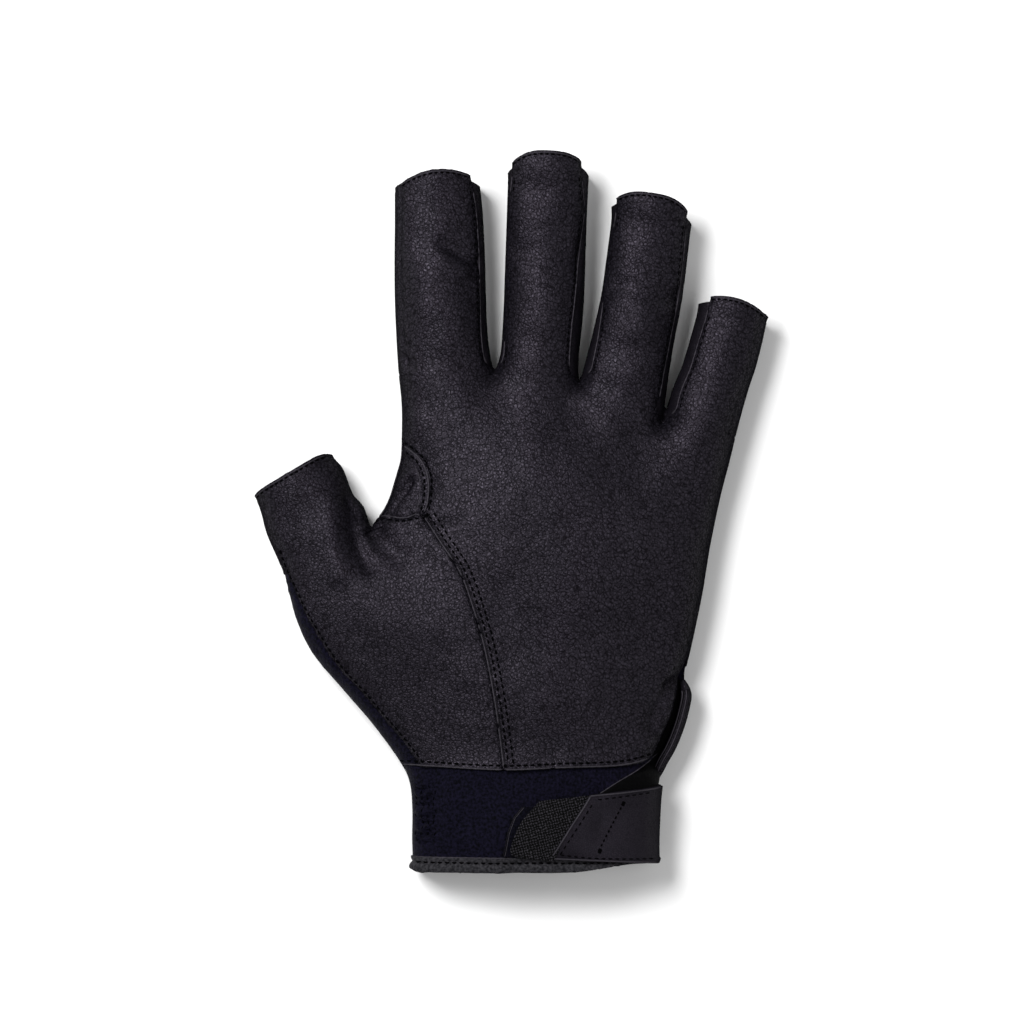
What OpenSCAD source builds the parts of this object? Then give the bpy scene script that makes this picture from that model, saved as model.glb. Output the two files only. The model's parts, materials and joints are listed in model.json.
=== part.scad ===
// Left-hand sailing glove with cut-off fingers, lying on its back, palm up. Millimetres.
// +X points to the little-finger side, +Y to the fingertips, +Z out of the palm.
// Z = 0 is the surface it lies on.

/* [Leather and neoprene] */
// Thickness of the palm leather
leather_t = 1.2; // [0.8:0.1:1.4]
// Thickness of the neoprene back
back_t = 2; // [1.6:0.1:2]
// Thickness of the neoprene cuff
cuff_t = 2; // [1.5:0.1:2.2]

/* [Shape] */
// Height of the digit tubes
digit_h = 18; // [16:0.5:20]
// Extra height in the middle of the palm
palm_rise = 7; // [4:0.5:8]
// How square the tubes are: 2 is round, more is squarer
arch_power = 2.3; // [2:0.1:2.6]
// How far the middle of each finger's cut end stands out past its sides
rim_crown = 4.5; // [2:0.5:6]

/* [Digit lengths from the hinge to the cut end] */
// Index finger
index_len = 59; // [50:1:62]
// Middle finger
middle_len = 66; // [56:1:68]
// Ring finger
ring_len = 58.5; // [50:0.5:60]
// Little finger
pinky_len = 39; // [34:1:42]
// Thumb
thumb_len = 25.5; // [22:0.5:28]

/* [Motion] */
// Bend that each digit's fold leaves room for, in degrees
digit_flex = 70; // [45:5:75]
// Height of the digit hinges
hinge_z = 12; // [11:0.5:14]

/* [Hidden] */
gap = 0.3;
rim_z = back_t + gap;
edge_reach = 12;
rise_reach = 32;
hem_w = 3.6;
hem_t = 0.8;
wrist_y = -74.2;
cuff_end_y = -104.6;
cuff_left_x = -29.2;
cuff_right_x = 42;
cuff_rim_z = 3.8;

// Digits: hinge x, hinge y, lean to +X in degrees, half width, length.
index = [-18.7, 40.5, -2, 12.6, index_len];
middle = [7.4, 39.2, 3.2, 11.7, middle_len];
ring = [32.1, 35, 8.7, 11.7, ring_len];
pinky = [54.8, 25, 17, 10.1, pinky_len];
thumb = [-53.4, -11.5, -27, 12.9, thumb_len];
fingers = [index, middle, ring, pinky];

// Edge of the glove where front and back meet, without the open ends.
thumb_side = [[-75, 0], [-65, -17.6], [-63.2, -30.9], [-58.2, -41.4], [-49.4, -51.9], [-40.4, -62.4],
              [-32.8, -72.9], [-29.2, -86], [-29.2, -130]];
thumb_crotch = [[-48, 7], [-41.6, -5.4], [-39.5, -2.6], [-35.7, 4.1], [-33.4, 11.7], [-32, 21],
                [-31.3, 40.2], [-33, 65]];
outer_side = [[76, 58], [64.8, 21.8], [60.5, 4.1], [55.3, -23.9], [50.3, -49], [52.7, -56.3], [49.2, -69.4],
              [43.6, -77.6], [42, -86], [42, -130]];
crotch_1 = [[-5.2, 40.4], [-3.4, 60]];
crotch_2 = [[19.8, 37.6], [23, 60]];
crotch_3 = [[44.3, 30.5], [50, 45]];
side_paths = [thumb_side, thumb_crotch, outer_side, crotch_1, crotch_2, crotch_3];

// ---------- small helpers ----------

function mix(a, b, f) = a + (b - a) * f;
function steps(n) = [for (i = [0:n]) i / n];
function clamp01(f) = max(0, min(1, f));
function ease(f) = let (c = clamp01(f)) c * c * (3 - 2 * c);
// Steps that bunch up towards both ends.
function edge_steps(n) = [for (i = [0:n]) (1 - cos(180 * i / n)) / 2];

// Point at fraction f of a path's length.
function path_at(p, f, total = undef, i = 0, gone = 0) =
    let (whole = is_undef(total) ? path_len(p) : total,
         seg = norm(p[i + 1] - p[i]),
         want = f * whole - gone)
    want <= seg || i == len(p) - 2 ? mix(p[i], p[i + 1], clamp01(want / seg))
                                   : path_at(p, f, whole, i + 1, gone + seg);
function path_len(p, i = 0) = i >= len(p) - 1 ? 0 : norm(p[i + 1] - p[i]) + path_len(p, i + 1);

// ---------- height of the glove's front above the table ----------

function gap_to(p, a, b) = norm(p - mix(a, b, clamp01((p - a) * (b - a) / ((b - a) * (b - a)))));
function edge_gap(p) = min([for (path = side_paths) for (i = [0:len(path) - 2])
                            gap_to(p, path[i], path[i + 1])]);
function arch(f) = pow(max(0, 1 - pow(1 - clamp01(f), arch_power)), 1 / arch_power);
function dome(f) = 1 - pow(1 - clamp01(f), 2);
function front_z(p) = let (d = edge_gap(p))
    rim_z + (digit_h - rim_z) * arch(d / edge_reach) + palm_rise * dome((d - edge_reach + 2) / rise_reach);

// ---------- bent sheets of material ----------

// A grid of points, rows towards +Y and columns towards +X, moved off its own surface by d.
function across(g, i, j) = g[i][min(j + 1, len(g[0]) - 1)] - g[i][max(j - 1, 0)];
function along(g, i, j) = g[min(i + 1, len(g) - 1)][j] - g[max(i - 1, 0)][j];
function raised(g, d, low) = [for (i = [0:len(g) - 1]) [for (j = [0:len(g[0]) - 1])
    let (n = cross(across(g, i, j), along(g, i, j)), p = g[i][j] + d * n / norm(n))
    [p.x, p.y, max(p.z, low)]]];
function flat_list(g) = [for (row = g) for (p = row) p];
function quad(a, b, c, d) = [[a, b, c], [a, c, d]];

// Solid between an upper grid and the same grid moved down.
module skin(upper, lower) {
    rows = len(upper);
    cols = len(upper[0]);
    under = rows * cols;
    faces = concat(
        [for (i = [0:rows - 2]) for (j = [0:cols - 2]) let (a = i * cols + j)
            each quad(a, a + cols, a + cols + 1, a + 1)],
        [for (i = [0:rows - 2]) for (j = [0:cols - 2]) let (a = under + i * cols + j)
            each quad(a, a + 1, a + cols + 1, a + cols)],
        [for (j = [0:cols - 2]) each quad(j, j + 1, under + j + 1, under + j)],
        [for (j = [0:cols - 2]) let (a = (rows - 1) * cols + j)
            each quad(a + 1, a, under + a, under + a + 1)],
        [for (i = [0:rows - 2]) let (a = i * cols) each quad(a + cols, a, under + a, under + a + cols)],
        [for (i = [0:rows - 2]) let (a = i * cols + cols - 1)
            each quad(a, a + cols, under + a + cols, under + a)]);
    polyhedron(points = concat(flat_list(upper), flat_list(lower)), faces = faces, convexity = 6);
}

// Sheet t thick whose outer face lies off above the grid, and which never dips below low.
module sheet(g, t, off = 0, low = rim_z) {
    skin(raised(g, off, low + 0.01), raised(g, off - t, low));
}

// Grid that fills the space between four edges. Rows run from the bottom edge to the top edge.
function patch(bottom, top, left, right, us, vs) = [for (v = vs) [for (u = us)
    let (l = path_at(left, v), r = path_at(right, v), b = path_at(bottom, u), t = path_at(top, u))
    mix(l, r, u) + mix(b, t, v)
        - mix(mix(path_at(bottom, 0), path_at(bottom, 1), u),
              mix(path_at(top, 0), path_at(top, 1), u), v)]];
function on_front(g, drop = 0, low = rim_z) = [for (row = g) [for (p = row)
    [p.x, p.y, max(low, front_z([p.x, p.y]) - drop)]]];

// ---------- digits ----------

function lean(d) = [sin(d[2]), cos(d[2])];
function side(d) = [cos(d[2]), -sin(d[2])];
function digit_xy(d, s, q) = [d[0], d[1]] + s * lean(d) + q * side(d);
// Side offset and height at angle t round the arch, from 0 on the left to 180 on the right.
function arch_q(d, t) = -d[3] * sign(cos(t)) * pow(abs(cos(t)), 2 / arch_power);
function arch_z(t) = rim_z + (digit_h - rim_z) * pow(sin(t), 2 / arch_power);
// Clearance that the fold needs at height z.
function fold_room(z) = gap + max(0, z - hinge_z) * tan(digit_flex / 2);
function rim_s(d, q) = d[4] - rim_crown * pow(q / d[3], 2);
function digit_point(d, s, t) = let (p = digit_xy(d, s, arch_q(d, t))) [p.x, p.y, arch_z(t)];
function digit_grid(d, t0, t1, n, low_s, short) = [for (f = steps(5)) [for (k = steps(n))
    let (t = mix(t0, t1, k), s0 = low_s < 0 ? fold_room(arch_z(t)) : rim_s(d, arch_q(d, t)) - low_s,
         s1 = rim_s(d, arch_q(d, t)) - short)
    digit_point(d, mix(s0, s1, f), t)]];

front_from = 42;
left_seam = front_from - 2;
right_seam = 180 - left_seam;

// How far the side strips and the back stop short of the front's cut end.
strip_short = 2.5;
back_short = 1.5;

module digit_front(d, from, to) color([0.21, 0.21, 0.24])
    sheet(digit_grid(d, from, to, 14, -1, 0), leather_t);
module digit_strip(d, from, to) color([0.3, 0.3, 0.32])
    sheet(digit_grid(d, from, to, 5, -1, strip_short), leather_t);
module digit_hem(d, from, to) color([0.14, 0.14, 0.16])
    sheet(digit_grid(d, from, to, 12, hem_w, gap), hem_t, -leather_t - gap);
module digit_back(d) color([0.1, 0.1, 0.17])
    linear_extrude(height = back_t)
        polygon(concat([digit_xy(d, gap, -d[3]), digit_xy(d, gap, d[3])],
                       [for (k = [6:-1:-6]) let (q = d[3] * k / 6)
                           digit_xy(d, rim_s(d, q) - back_short, q)]));
module digit_crease(d) color([0.18, 0.18, 0.2])
    sheet([for (f = [-1, 0, 1]) [for (k = steps(8)) let (t = mix(52, 128, k))
               digit_point(d, f * (fold_room(arch_z(t)) - 3 * gap), t) - [0, 0, 0.4]]], leather_t - 0.2);

module index_front() digit_front(index, 0, right_seam - 2);
module index_fourchette() digit_strip(index, right_seam, 180);
module index_back() digit_back(index);
module index_hem() digit_hem(index, 15, right_seam - 6);
module index_crease() digit_crease(index);
module middle_front() digit_front(middle, front_from, 180 - front_from);
module middle_fourchette_left() digit_strip(middle, 0, left_seam);
module middle_fourchette_right() digit_strip(middle, right_seam, 180);
module middle_back() digit_back(middle);
module middle_hem() digit_hem(middle, front_from + 4, 176 - front_from);
module middle_crease() digit_crease(middle);
module ring_front() digit_front(ring, front_from, 180 - front_from);
module ring_fourchette_left() digit_strip(ring, 0, left_seam);
module ring_fourchette_right() digit_strip(ring, right_seam, 180);
module ring_back() digit_back(ring);
module ring_hem() digit_hem(ring, front_from + 4, 176 - front_from);
module ring_crease() digit_crease(ring);
module pinky_front() digit_front(pinky, front_from, 180);
module pinky_fourchette() digit_strip(pinky, 0, left_seam);
module pinky_back() digit_back(pinky);
module pinky_hem() digit_hem(pinky, front_from + 4, 165);
module pinky_crease() digit_crease(pinky);
module thumb_front() digit_front(thumb, 0, 180);
module thumb_back() digit_back(thumb);
module thumb_hem() digit_hem(thumb, 15, 165);
module thumb_crease() digit_crease(thumb);

// ---------- palm ----------

root_ts = [0, 12, 30, 50, 70, 90, 110, 130, 150, 168, 180];
// Upper edge of the palm: round the arch of each finger, set back by its fold.
finger_roots = [for (d = fingers) for (t = root_ts) digit_point(d, -fold_room(arch_z(t)), t)];
thumb_root = [for (k = [10:-1:0]) let (t = root_ts[k]) digit_point(thumb, -fold_room(arch_z(t)), t)];
palm_left = [[-2.1, wrist_y], [-3, -66.5], [-4.7, -54.4], [-7.5, -39.9], [-10.8, -28.1], [-14.7, -17.5],
             [-20.4, -8.6], [-23.4, -1.5], [-22.6, 7], [-23.4, 11.7], [-26, 16.4], [-32, 21.2],
             [-31.3, 40.2]];
palm_right = [[40.7, -71.8], [44.3, -63.5], [50.1, -49.4], [55.3, -23.9], [60.5, 4.1], [64.6, 22]];
thenar_left = [[-27.2, wrist_y], [-31.2, -67.7], [-38.2, -59.5], [-44.8, -51.7], [-51.5, -43.6],
               [-58.4, -33.3], [-61.8, -26.8], [-63.6, -20.4]];
seam_right = [[-2.7, wrist_y], [-3.6, -66.5], [-5.3, -54.4], [-8.1, -39.9], [-11.4, -28.1],
              [-15.3, -17.5], [-21, -8.9], [-25.4, -2.4]];
wrap_left = [[-32, wrist_y], for (k = [6:-1:2]) thumb_side[k], [-65.1, -20.6]];
wrap_right = [for (p = thenar_left) p - [0.7, 0.5]];
gusset_left = [[-41.2, -4.6], [-39.5, -2.6], [-35.7, 4.1], [-33.4, 11.7], [-32, 20.1]];
gusset_right = [[-25.8, -1.6], [-24.2, 3], [-24, 7], [-24.8, 11.2], [-27.3, 15.4], [-31.5, 20]];

function flat(points) = [for (p = points) [p.x, p.y]];
// The palm's grid: its top row is the fingers' roots, its other rows follow the front height.
palm_us = [for (p = finger_roots) (p.x - finger_roots[0].x) / (finger_roots[43].x - finger_roots[0].x)];
palm_vs = concat([for (f = edge_steps(12)) f * 0.94], [0.97, 0.99]);
palm_xy = [for (v = palm_vs) [for (k = [0:43])
    let (u = palm_us[k], l = path_at(palm_left, v), r = path_at(palm_right, v),
         b = mix(palm_left[0], palm_right[0], u), t = [finger_roots[k].x, finger_roots[k].y])
    mix(l, r, u) + mix(b, t, v) - mix(b, mix(palm_left[12], palm_right[5], u), v)]];
palm_grid = concat(on_front(palm_xy), [finger_roots]);

// The thenar's left edge runs up the navy seam and then round the thumb's root.
thenar_rights = [for (f = steps(17)) path_at(seam_right, f)];
thenar_lefts = concat([for (f = steps(6)) path_at(thenar_left, f)],
                      flat([for (k = [10:-1:0]) thumb_root[k]]));
thenar_top = [[-41.6, -6.2], [-33, -4.4], [-25.4, -2.4]];
thenar_us = [0, 0.02, 0.06, 0.12, 0.22, 0.34, 0.48, 0.62, 0.75, 0.88, 1];
thenar_grid = [for (i = [0:17]) [for (u = thenar_us)
    let (v = i / 17, b = mix(thenar_lefts[0], seam_right[0], u), t = path_at(thenar_top, u),
         p = mix(thenar_lefts[i], thenar_rights[i], u) + mix(b, t, v)
             - mix(b, mix(thenar_lefts[17], thenar_top[2], u), v),
         root_z = i > 6 ? thumb_root[17 - i].z : front_z(p))
    [p.x, p.y, mix(root_z, front_z(p), ease(u * 8))]]];

module palm_panel() color([0.15, 0.14, 0.17]) sheet(palm_grid, leather_t);
module thenar_panel() color([0.15, 0.14, 0.16]) sheet(thenar_grid, leather_t);
module thumb_gusset() color([0.19, 0.18, 0.2])
    sheet(on_front(patch([[-41.2, -4.6], [-33, -3], [-25.8, -1.6]], [[-32, 20.1], [-31.5, 20]],
                         gusset_left, gusset_right, [0, 0.03, 0.1, 0.22, 0.4, 0.6, 0.8, 1], steps(9))),
          leather_t);
module thumb_side_wrap() color([0.08, 0.08, 0.12])
    sheet(on_front(patch([wrap_left[0], wrap_right[0]], [wrap_left[6], wrap_right[7]],
                         wrap_left, wrap_right, [0, 0.06, 0.2, 0.45, 0.7, 0.9, 1], steps(6))), leather_t);
module palm_hem() color([0.12, 0.12, 0.14])
    sheet(on_front([for (y = [-74.2, -73, -71.4]) [for (u = steps(10)) [mix(-1.8, 39.6, u), y + 1.2 * u]]]),
          hem_t, -leather_t - gap);
module palm_back() color([0.1, 0.1, 0.17])
    linear_extrude(height = back_t)
        polygon(concat([for (k = [6:-1:1]) thumb_side[k]],
                       [digit_xy(thumb, -gap, -thumb[3]), digit_xy(thumb, -gap, thumb[3])],
                       [for (k = [2:5]) thumb_crotch[k]],
                       [for (d = fingers) for (q = [-d[3], d[3]]) digit_xy(d, -gap, q)],
                       [for (k = [2:7]) outer_side[k]], [[43, wrist_y]]));

// ---------- wrist ----------

function cuff_xy(y, u) = [mix(cuff_left_x, cuff_right_x, u), y];
function cuff_grid(y0, y1, u0, u1, n, m) = on_front([for (f = steps(m)) [for (k = edge_steps(n))
    cuff_xy(mix(y0, y1, f), mix(u0, u1, k))]], 0, cuff_rim_z);
// Grid on the cuff between a left edge and a right edge, each given by its ends.
function cuff_quad(l0, l1, r0, r1, us, m) = on_front([for (f = steps(m)) [for (u = us)
    mix(mix(l0, l1, f), mix(r0, r1, f), u)]], 0, cuff_rim_z);

patch_off = 1.1;
tape_off = 2.7;
strap_off = 3;
strap_t = 1.3;
binding_off = 1.3;
binding_top_y = -100.9;
binding_end_y = -105;
binding_back_h = 3.3;
// The cuff's back lies on the strap's anchor.
cuff_back_z = 1.6;
cuff_back_h = 1.8;
bartack = [3.6, 1.2, 0.6];
bartack_turn = 64;
bead_half_w = 1.6;
bead_h = 2.8;
// How far in from the cuff's edge the strap passes the hinge height.
turn_in = 2.2;

module cuff_front() color([0.08, 0.07, 0.11])
    sheet(cuff_grid(cuff_end_y, wrist_y - 0.6, 0, 1, 26, 4), cuff_t, 0, cuff_rim_z);
module cuff_back() color([0.08, 0.07, 0.11])
    translate([0, 0, cuff_back_z]) linear_extrude(height = cuff_back_h)
        polygon([[cuff_left_x + 0.5, wrist_y - 0.5], [cuff_left_x + 0.5, -101.4], [41.4, -101.4],
                 [41.4, wrist_y - 0.5]]);
module cuff_binding_front() color([0.16, 0.16, 0.17])
    sheet(cuff_grid(binding_end_y, binding_top_y, 0.01, 0.99, 22, 1), binding_off - gap, binding_off,
          cuff_rim_z);
module cuff_binding_back() color([0.16, 0.16, 0.17])
    linear_extrude(height = binding_back_h)
        polygon([[cuff_left_x + 1, -101.8], [cuff_left_x + 2, binding_end_y], [40, binding_end_y],
                 [41, -101.8]]);
module wrist_elastic() color([0.3, 0.3, 0.32])
    sheet(on_front([for (y = [-95.7, -79.6]) [for (x = [-28.2, -26.6, -24.5, -22.4]) [x, y]]],
                   0, cuff_rim_z),
          1, -cuff_t - 3 * gap, cuff_rim_z + 1);
module loop_patch() color([0.12, 0.12, 0.14])
    sheet(cuff_quad([-2.6, -99.4], [0.7, -86], [22, -99.4], [22, -86], steps(8), 3), patch_off - gap,
          patch_off);
module strap_anchor() color([0.15, 0.15, 0.17])
    linear_extrude(height = strap_t) polygon([[-6, -81.5], [-6, -101], [41, -101], [41, -80.5]]);
module strap_side() color([0.15, 0.15, 0.17])
    sheet(on_front([for (y = [-100.4, -90.2, -80]) [for (f = [1, 0.7, 0.45, 0.25, 0.1, 0])
               [cuff_right_x - (turn_in - 0.5) * f, y]]], 0, cuff_rim_z), strap_t, 0.3 + strap_t, 1.7);
module strap_leather() color([0.15, 0.15, 0.17])
    sheet(cuff_quad([13.6, -99.5], [24.6, -82.6], [cuff_right_x - turn_in, -100.4],
                    [cuff_right_x - turn_in, -80], [0, 0.15, 0.3, 0.45, 0.6, 0.72, 0.82, 0.9, 0.96, 1], 4),
          strap_t, strap_off, 13);
module hook_tape() color([0.1, 0.1, 0.12])
    sheet(cuff_quad([-0.2, -98.6], [8.2, -84.2], [12.9, -99.6], [23.8, -82.6], steps(8), 4), 1, tape_off);
module strap_bartacks() color([0.25, 0.25, 0.27])
    for (p = [[25.2, -97.4], [32.2, -84.8]])
        translate([p.x, p.y, front_z(p) + strap_off + 1.2]) rotate([0, 0, bartack_turn])
            cube(bartack, center = true);

// Bound edge of the back along the slit, and the underlap that closes the slit.
slit_edge = [[43, -76.4], [47.4, -69.6], [50.3, -62.8], [51, -56.6], [49.4, -51.4]];
function path_side(p, i) = let (d = p[min(i + 1, len(p) - 1)] - p[max(i - 1, 0)]) [d.y, -d.x] / norm(d);
function bead(p, half_w, h, low) = [for (i = [0:len(p) - 1]) [for (f = steps(6))
    let (q = p[i] + path_side(p, i) * mix(-half_w, half_w, f)) [q.x, q.y, low + h * sin(180 * f)]]];
module slit_binding() color([0.16, 0.16, 0.17])
    translate([0, 0, rim_z])
        skin(bead(slit_edge, bead_half_w, bead_h, gap), bead(slit_edge, bead_half_w, 0, 0));
module slit_underlap() color([0.12, 0.12, 0.13])
    sheet(on_front(patch([[35.5, -73.4], [40.6, -74.4]], [[44, -50.6], [47, -51.2]],
                         [[35.5, -73.4], [40, -61], [44, -50.6]],
                         [[40.6, -74.4], [44.8, -68.2], [47.6, -61.6], [48, -56.8], [47, -51.2]],
                         steps(6), steps(8)), 3.4, 6), leather_t, 0, 4);

palm_panel();
palm_hem();
thenar_panel();
thumb_gusset();
thumb_side_wrap();
palm_back();
cuff_front();
cuff_back();
cuff_binding_front();
cuff_binding_back();
slit_binding();
slit_underlap();
wrist_elastic();
loop_patch();
strap_anchor();
strap_side();
strap_leather();
hook_tape();
strap_bartacks();
index_front();
index_fourchette();
index_back();
index_hem();
index_crease();
middle_front();
middle_fourchette_left();
middle_fourchette_right();
middle_back();
middle_hem();
middle_crease();
ring_front();
ring_fourchette_left();
ring_fourchette_right();
ring_back();
ring_hem();
ring_crease();
pinky_front();
pinky_fourchette();
pinky_back();
pinky_hem();
pinky_crease();
thumb_front();
thumb_back();
thumb_hem();
thumb_crease();
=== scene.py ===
"""A left-hand sailing glove, lying palm up. Lengths are millimetres until a piece is made, then metres."""
import json
import math

import bpy
import numpy as np
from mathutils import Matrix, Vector
from mathutils.bvhtree import BVHTree


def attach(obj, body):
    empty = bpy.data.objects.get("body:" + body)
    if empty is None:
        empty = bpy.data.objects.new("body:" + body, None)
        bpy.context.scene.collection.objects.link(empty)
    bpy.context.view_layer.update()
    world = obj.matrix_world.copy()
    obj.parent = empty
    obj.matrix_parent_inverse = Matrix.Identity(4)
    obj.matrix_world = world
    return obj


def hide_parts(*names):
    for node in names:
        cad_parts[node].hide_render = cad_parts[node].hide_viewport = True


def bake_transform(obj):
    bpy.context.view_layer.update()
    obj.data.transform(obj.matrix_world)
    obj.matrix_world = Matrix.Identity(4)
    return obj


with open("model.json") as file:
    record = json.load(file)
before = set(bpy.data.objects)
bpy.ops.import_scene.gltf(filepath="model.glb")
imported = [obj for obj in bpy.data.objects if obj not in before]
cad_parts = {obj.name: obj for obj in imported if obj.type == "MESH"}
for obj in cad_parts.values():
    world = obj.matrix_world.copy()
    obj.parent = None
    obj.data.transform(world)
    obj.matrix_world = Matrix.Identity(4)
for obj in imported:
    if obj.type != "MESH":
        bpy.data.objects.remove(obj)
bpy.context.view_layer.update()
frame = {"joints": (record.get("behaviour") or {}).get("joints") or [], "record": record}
MM = 0.001
UP = Vector((0, 0, 1))

# ---------- the glove's plan, in the row frame ----------

# By digit: half width, length, how far the rim's middle stands out, that curve's power and its slope.
DIGITS = {"index": (12.6, 59.2, 4.0, 2, 0), "middle": (11.7, 65.9, 4.6, 3, 0),
          "ring": (11.8, 58.3, 4.2, 3, 0), "pinky": (10.3, 38.6, 2.6, 2, 0),
          "thumb": (12.9, 25.7, 1.3, 8, 0.06)}
# How much of each fourchette shows from the front, from the finger's root to its tip, by side (+1 is right).
STRIPS = {
    "index": {1: (2.0, 1.7, 1.6, 1.7, 2.3)},
    "middle": {-1: (1.2, 0.5, 0.45, 0.5, 1.7), 1: (2.5, 3.0, 2.2, 0.7, 2.9)},
    "ring": {-1: (2.5, 1.7, 0.5, 0.5, 1.6), 1: (1.8, 1.3, 1.2, 1.3, 1.9)},
    "pinky": {-1: (2.6, 2.3, 2.3, 2.5, 2.9)},
    "thumb": {},
}

OUTLINE = [
    (-41.3, -5.2), (-39.5, -2.6), (-37.2, 0.6), (-35.5, 4.1), (-34.4, 7.6), (-33.2, 11.7), (-32.2, 15.5),
    (-31.9, 21), (-31.9, 31.2), (-32.8, 40.8), (-33.4, 50.2), (-33.9, 62), (-34, 73.5), (-33.9, 84),
    (-33.9, 95), (-33.8, 112), (-11.4, 113), (-9.6, 97), (-8.6, 88.1), (-7.9, 75), (-7.6, 63),
    (-7.2, 53.1), (-6.4, 46.1), (-5.7, 42.6), (-5.1, 41), (-4.5, 42.6), (-3.4, 46.1), (-2.8, 53.1),
    (-2.4, 61), (-2.1, 70), (-1.6, 84.6), (-1.2, 97), (-0.6, 119), (23.4, 117), (22.5, 99), (22, 88.1),
    (21.6, 78), (21.3, 67), (20.7, 56.6), (19.6, 46.1), (19.4, 40.5), (19.8, 38), (20.4, 40), (22, 46.1),
    (23.8, 53.1), (26.1, 63.6), (27.6, 74.1), (29, 84.6), (31.6, 105), (55.8, 101), (53.2, 88),
    (52.1, 81.1), (50.9, 70.6), (49.4, 60.1), (47.4, 49.6), (45.7, 39.1), (44.4, 29.5), (44.1, 26.5),
    (45, 29), (46.8, 35.6), (49.7, 42.6), (51.8, 49.6), (53.8, 56.6), (59.6, 77), (81, 71), (75, 58.1),
    (72.8, 49.6), (71, 42.6), (68.7, 35.6), (66.7, 28.6), (64.9, 21.6), (63.2, 14.6), (60.5, 4.1),
    (57.6, -9.9), (55.3, -23.9), (52.4, -37.9), (50.4, -46.8), (50.6, -51.2), (51, -56.3),
    (49.6, -62.1), (47, -68.4), (43.9, -74), (42.2, -79.5), (42.2, -86), (42.2, -95), (42.2, -104),
    (42.2, -122), (-29, -122), (-29, -103), (-29.3, -95), (-29.3, -86.9), (-30, -79), (-32.8, -72.9),
    (-40.4, -62.4), (-49.4, -51.9), (-58.2, -41.4), (-63.2, -30.9), (-66.9, -16.9), (-71.3, -6.4),
    (-74.4, 3.6), (-84, 22), (-58, 30), (-53, 17), (-49.8, 12.6), (-47.4, 6.4), (-46.3, 4.3), (-43.8, 1.6),
    (-42.4, -2.2),
]
THENAR_SEAM = [(-25.4, -1.6), (-20.9, -8.6), (-15.1, -17.5), (-11.2, -28.1), (-7.9, -39.9), (-5.1, -54.4),
               (-3.4, -66.5), (-2.5, -74)]
GUSSET_ARC = [(-31.9, 20.4), (-26.6, 16.2), (-24.2, 11.7), (-23.6, 7), (-24.1, 2), (-25.4, -1.6)]
GUSSET_FOOT = [(-40.6, -2.4), (-37.4, -1.2), (-33, -1.8), (-30, -1.6), (-28, -0.7), (-25.4, -1.6)]
NAVY_SEAM = [(-68.6, -11), (-66.9, -15.8), (-61.7, -26.8), (-58.2, -33.3), (-51.3, -44.3), (-44.4, -51.9),
             (-37.9, -59.5), (-30.9, -67.7), (-26.7, -73.2), (-26.2, -74.6)]
SLIT_CUT = [(50.6, -48.4), (49.5, -52), (48.2, -58.5), (45.7, -63.8), (42.8, -69.2), (41.2, -71.4)]
PALM_HEM = [(-33, -73.7), (-26.7, -73.7), (-3.4, -74.7), (14.1, -74.1), (31.6, -73.5), (41.2, -71.4)]
WRIST_Y, BINDING_TOP, CUFF_END = -74, -100.5, -104.7
LAP_EDGE = [(25.6, -81.8), (30.5, -78.6), (36.2, -75.3), (42.6, -70.6)]
CROTCHES = [(-5.1, 41), (19.8, 38), (44.1, 26.5)]
# How far the fourchettes run on round each crotch.
WEB_REACH = 9
# A distance beyond any on the glove.
FAR = 999
# How far a digit's back and fourchettes stop short of its front's cut end.
BACK_SHORT = 1.6

# ---------- the glove's thickness ----------

SEAM_Z = 8.0
DIGIT_RISE = 10.0
PALM_RISE = 7.0
EDGE_REACH = 12.0
ROUND_FRONT, ROUND_BACK = 2.2, 4.0
LEATHER, NEOPRENE = 1.2, 2.0
# A length along each digit from its hinge; carry() works out the point there and does not use it.
BLEND_LENGTH = 24.0

CELL = 0.85


def smooth_path(points, step, closed=False):
    """Catmull-Rom curve through the points, with a point about every step."""
    p = np.array(points, float)
    n = len(p)
    out = []
    for i in range(n if closed else n - 1):
        if closed:
            a, b, c, d = p[i - 1], p[i], p[(i + 1) % n], p[(i + 2) % n]
        else:
            b, c = p[i], p[i + 1]
            a = p[i - 1] if i else 2 * b - c
            d = p[i + 2] if i + 2 < n else 2 * c - b
        count = max(1, int(np.linalg.norm(c - b) / step))
        for t in np.arange(count) / count:
            out.append(0.5 * (2 * b + (c - a) * t + (2 * a - 5 * b + 4 * c - d) * t * t
                              + (3 * b - a - 3 * c + d) * t ** 3))
    if not closed:
        out.append(p[-1])
    return np.array(out)


def to_path(xy, path, closed=False):
    """Distance, length along the path and side (+ is left of its direction) for each point."""
    a = path
    b = np.roll(path, -1, 0) if closed else path[1:]
    a = a if closed else path[:-1]
    ab = b - a
    size2 = (ab ** 2).sum(1) + 1e-12
    start = np.concatenate([[0], np.cumsum(np.sqrt(size2))])[:-1]
    dist, along, side = (np.empty(len(xy)) for _ in range(3))
    for lo in range(0, len(xy), 6000):
        p = xy[lo:lo + 6000, None, :] - a[None]
        t = np.clip((p * ab[None]).sum(2) / size2, 0, 1)
        away = p - t[..., None] * ab[None]
        d2 = (away ** 2).sum(2)
        k = d2.argmin(1)
        r = np.arange(len(k))
        dist[lo:lo + 6000] = np.sqrt(d2[r, k])
        along[lo:lo + 6000] = start[k] + t[r, k] * np.sqrt(size2[k])
        cross = ab[k, 0] * p[r, k, 1] - ab[k, 1] * p[r, k, 0]
        side[lo:lo + 6000] = np.sign(cross)
    return dist, along, side


def lengths(path):
    """Length along a path at each of its points."""
    return np.concatenate([[0], np.cumsum(np.linalg.norm(np.diff(path, axis=0), axis=1))])


def points_at(path, at):
    """Points at the given lengths along a path."""
    return np.stack([np.interp(at, lengths(path), path[:, i]) for i in (0, 1)], 1)


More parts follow.
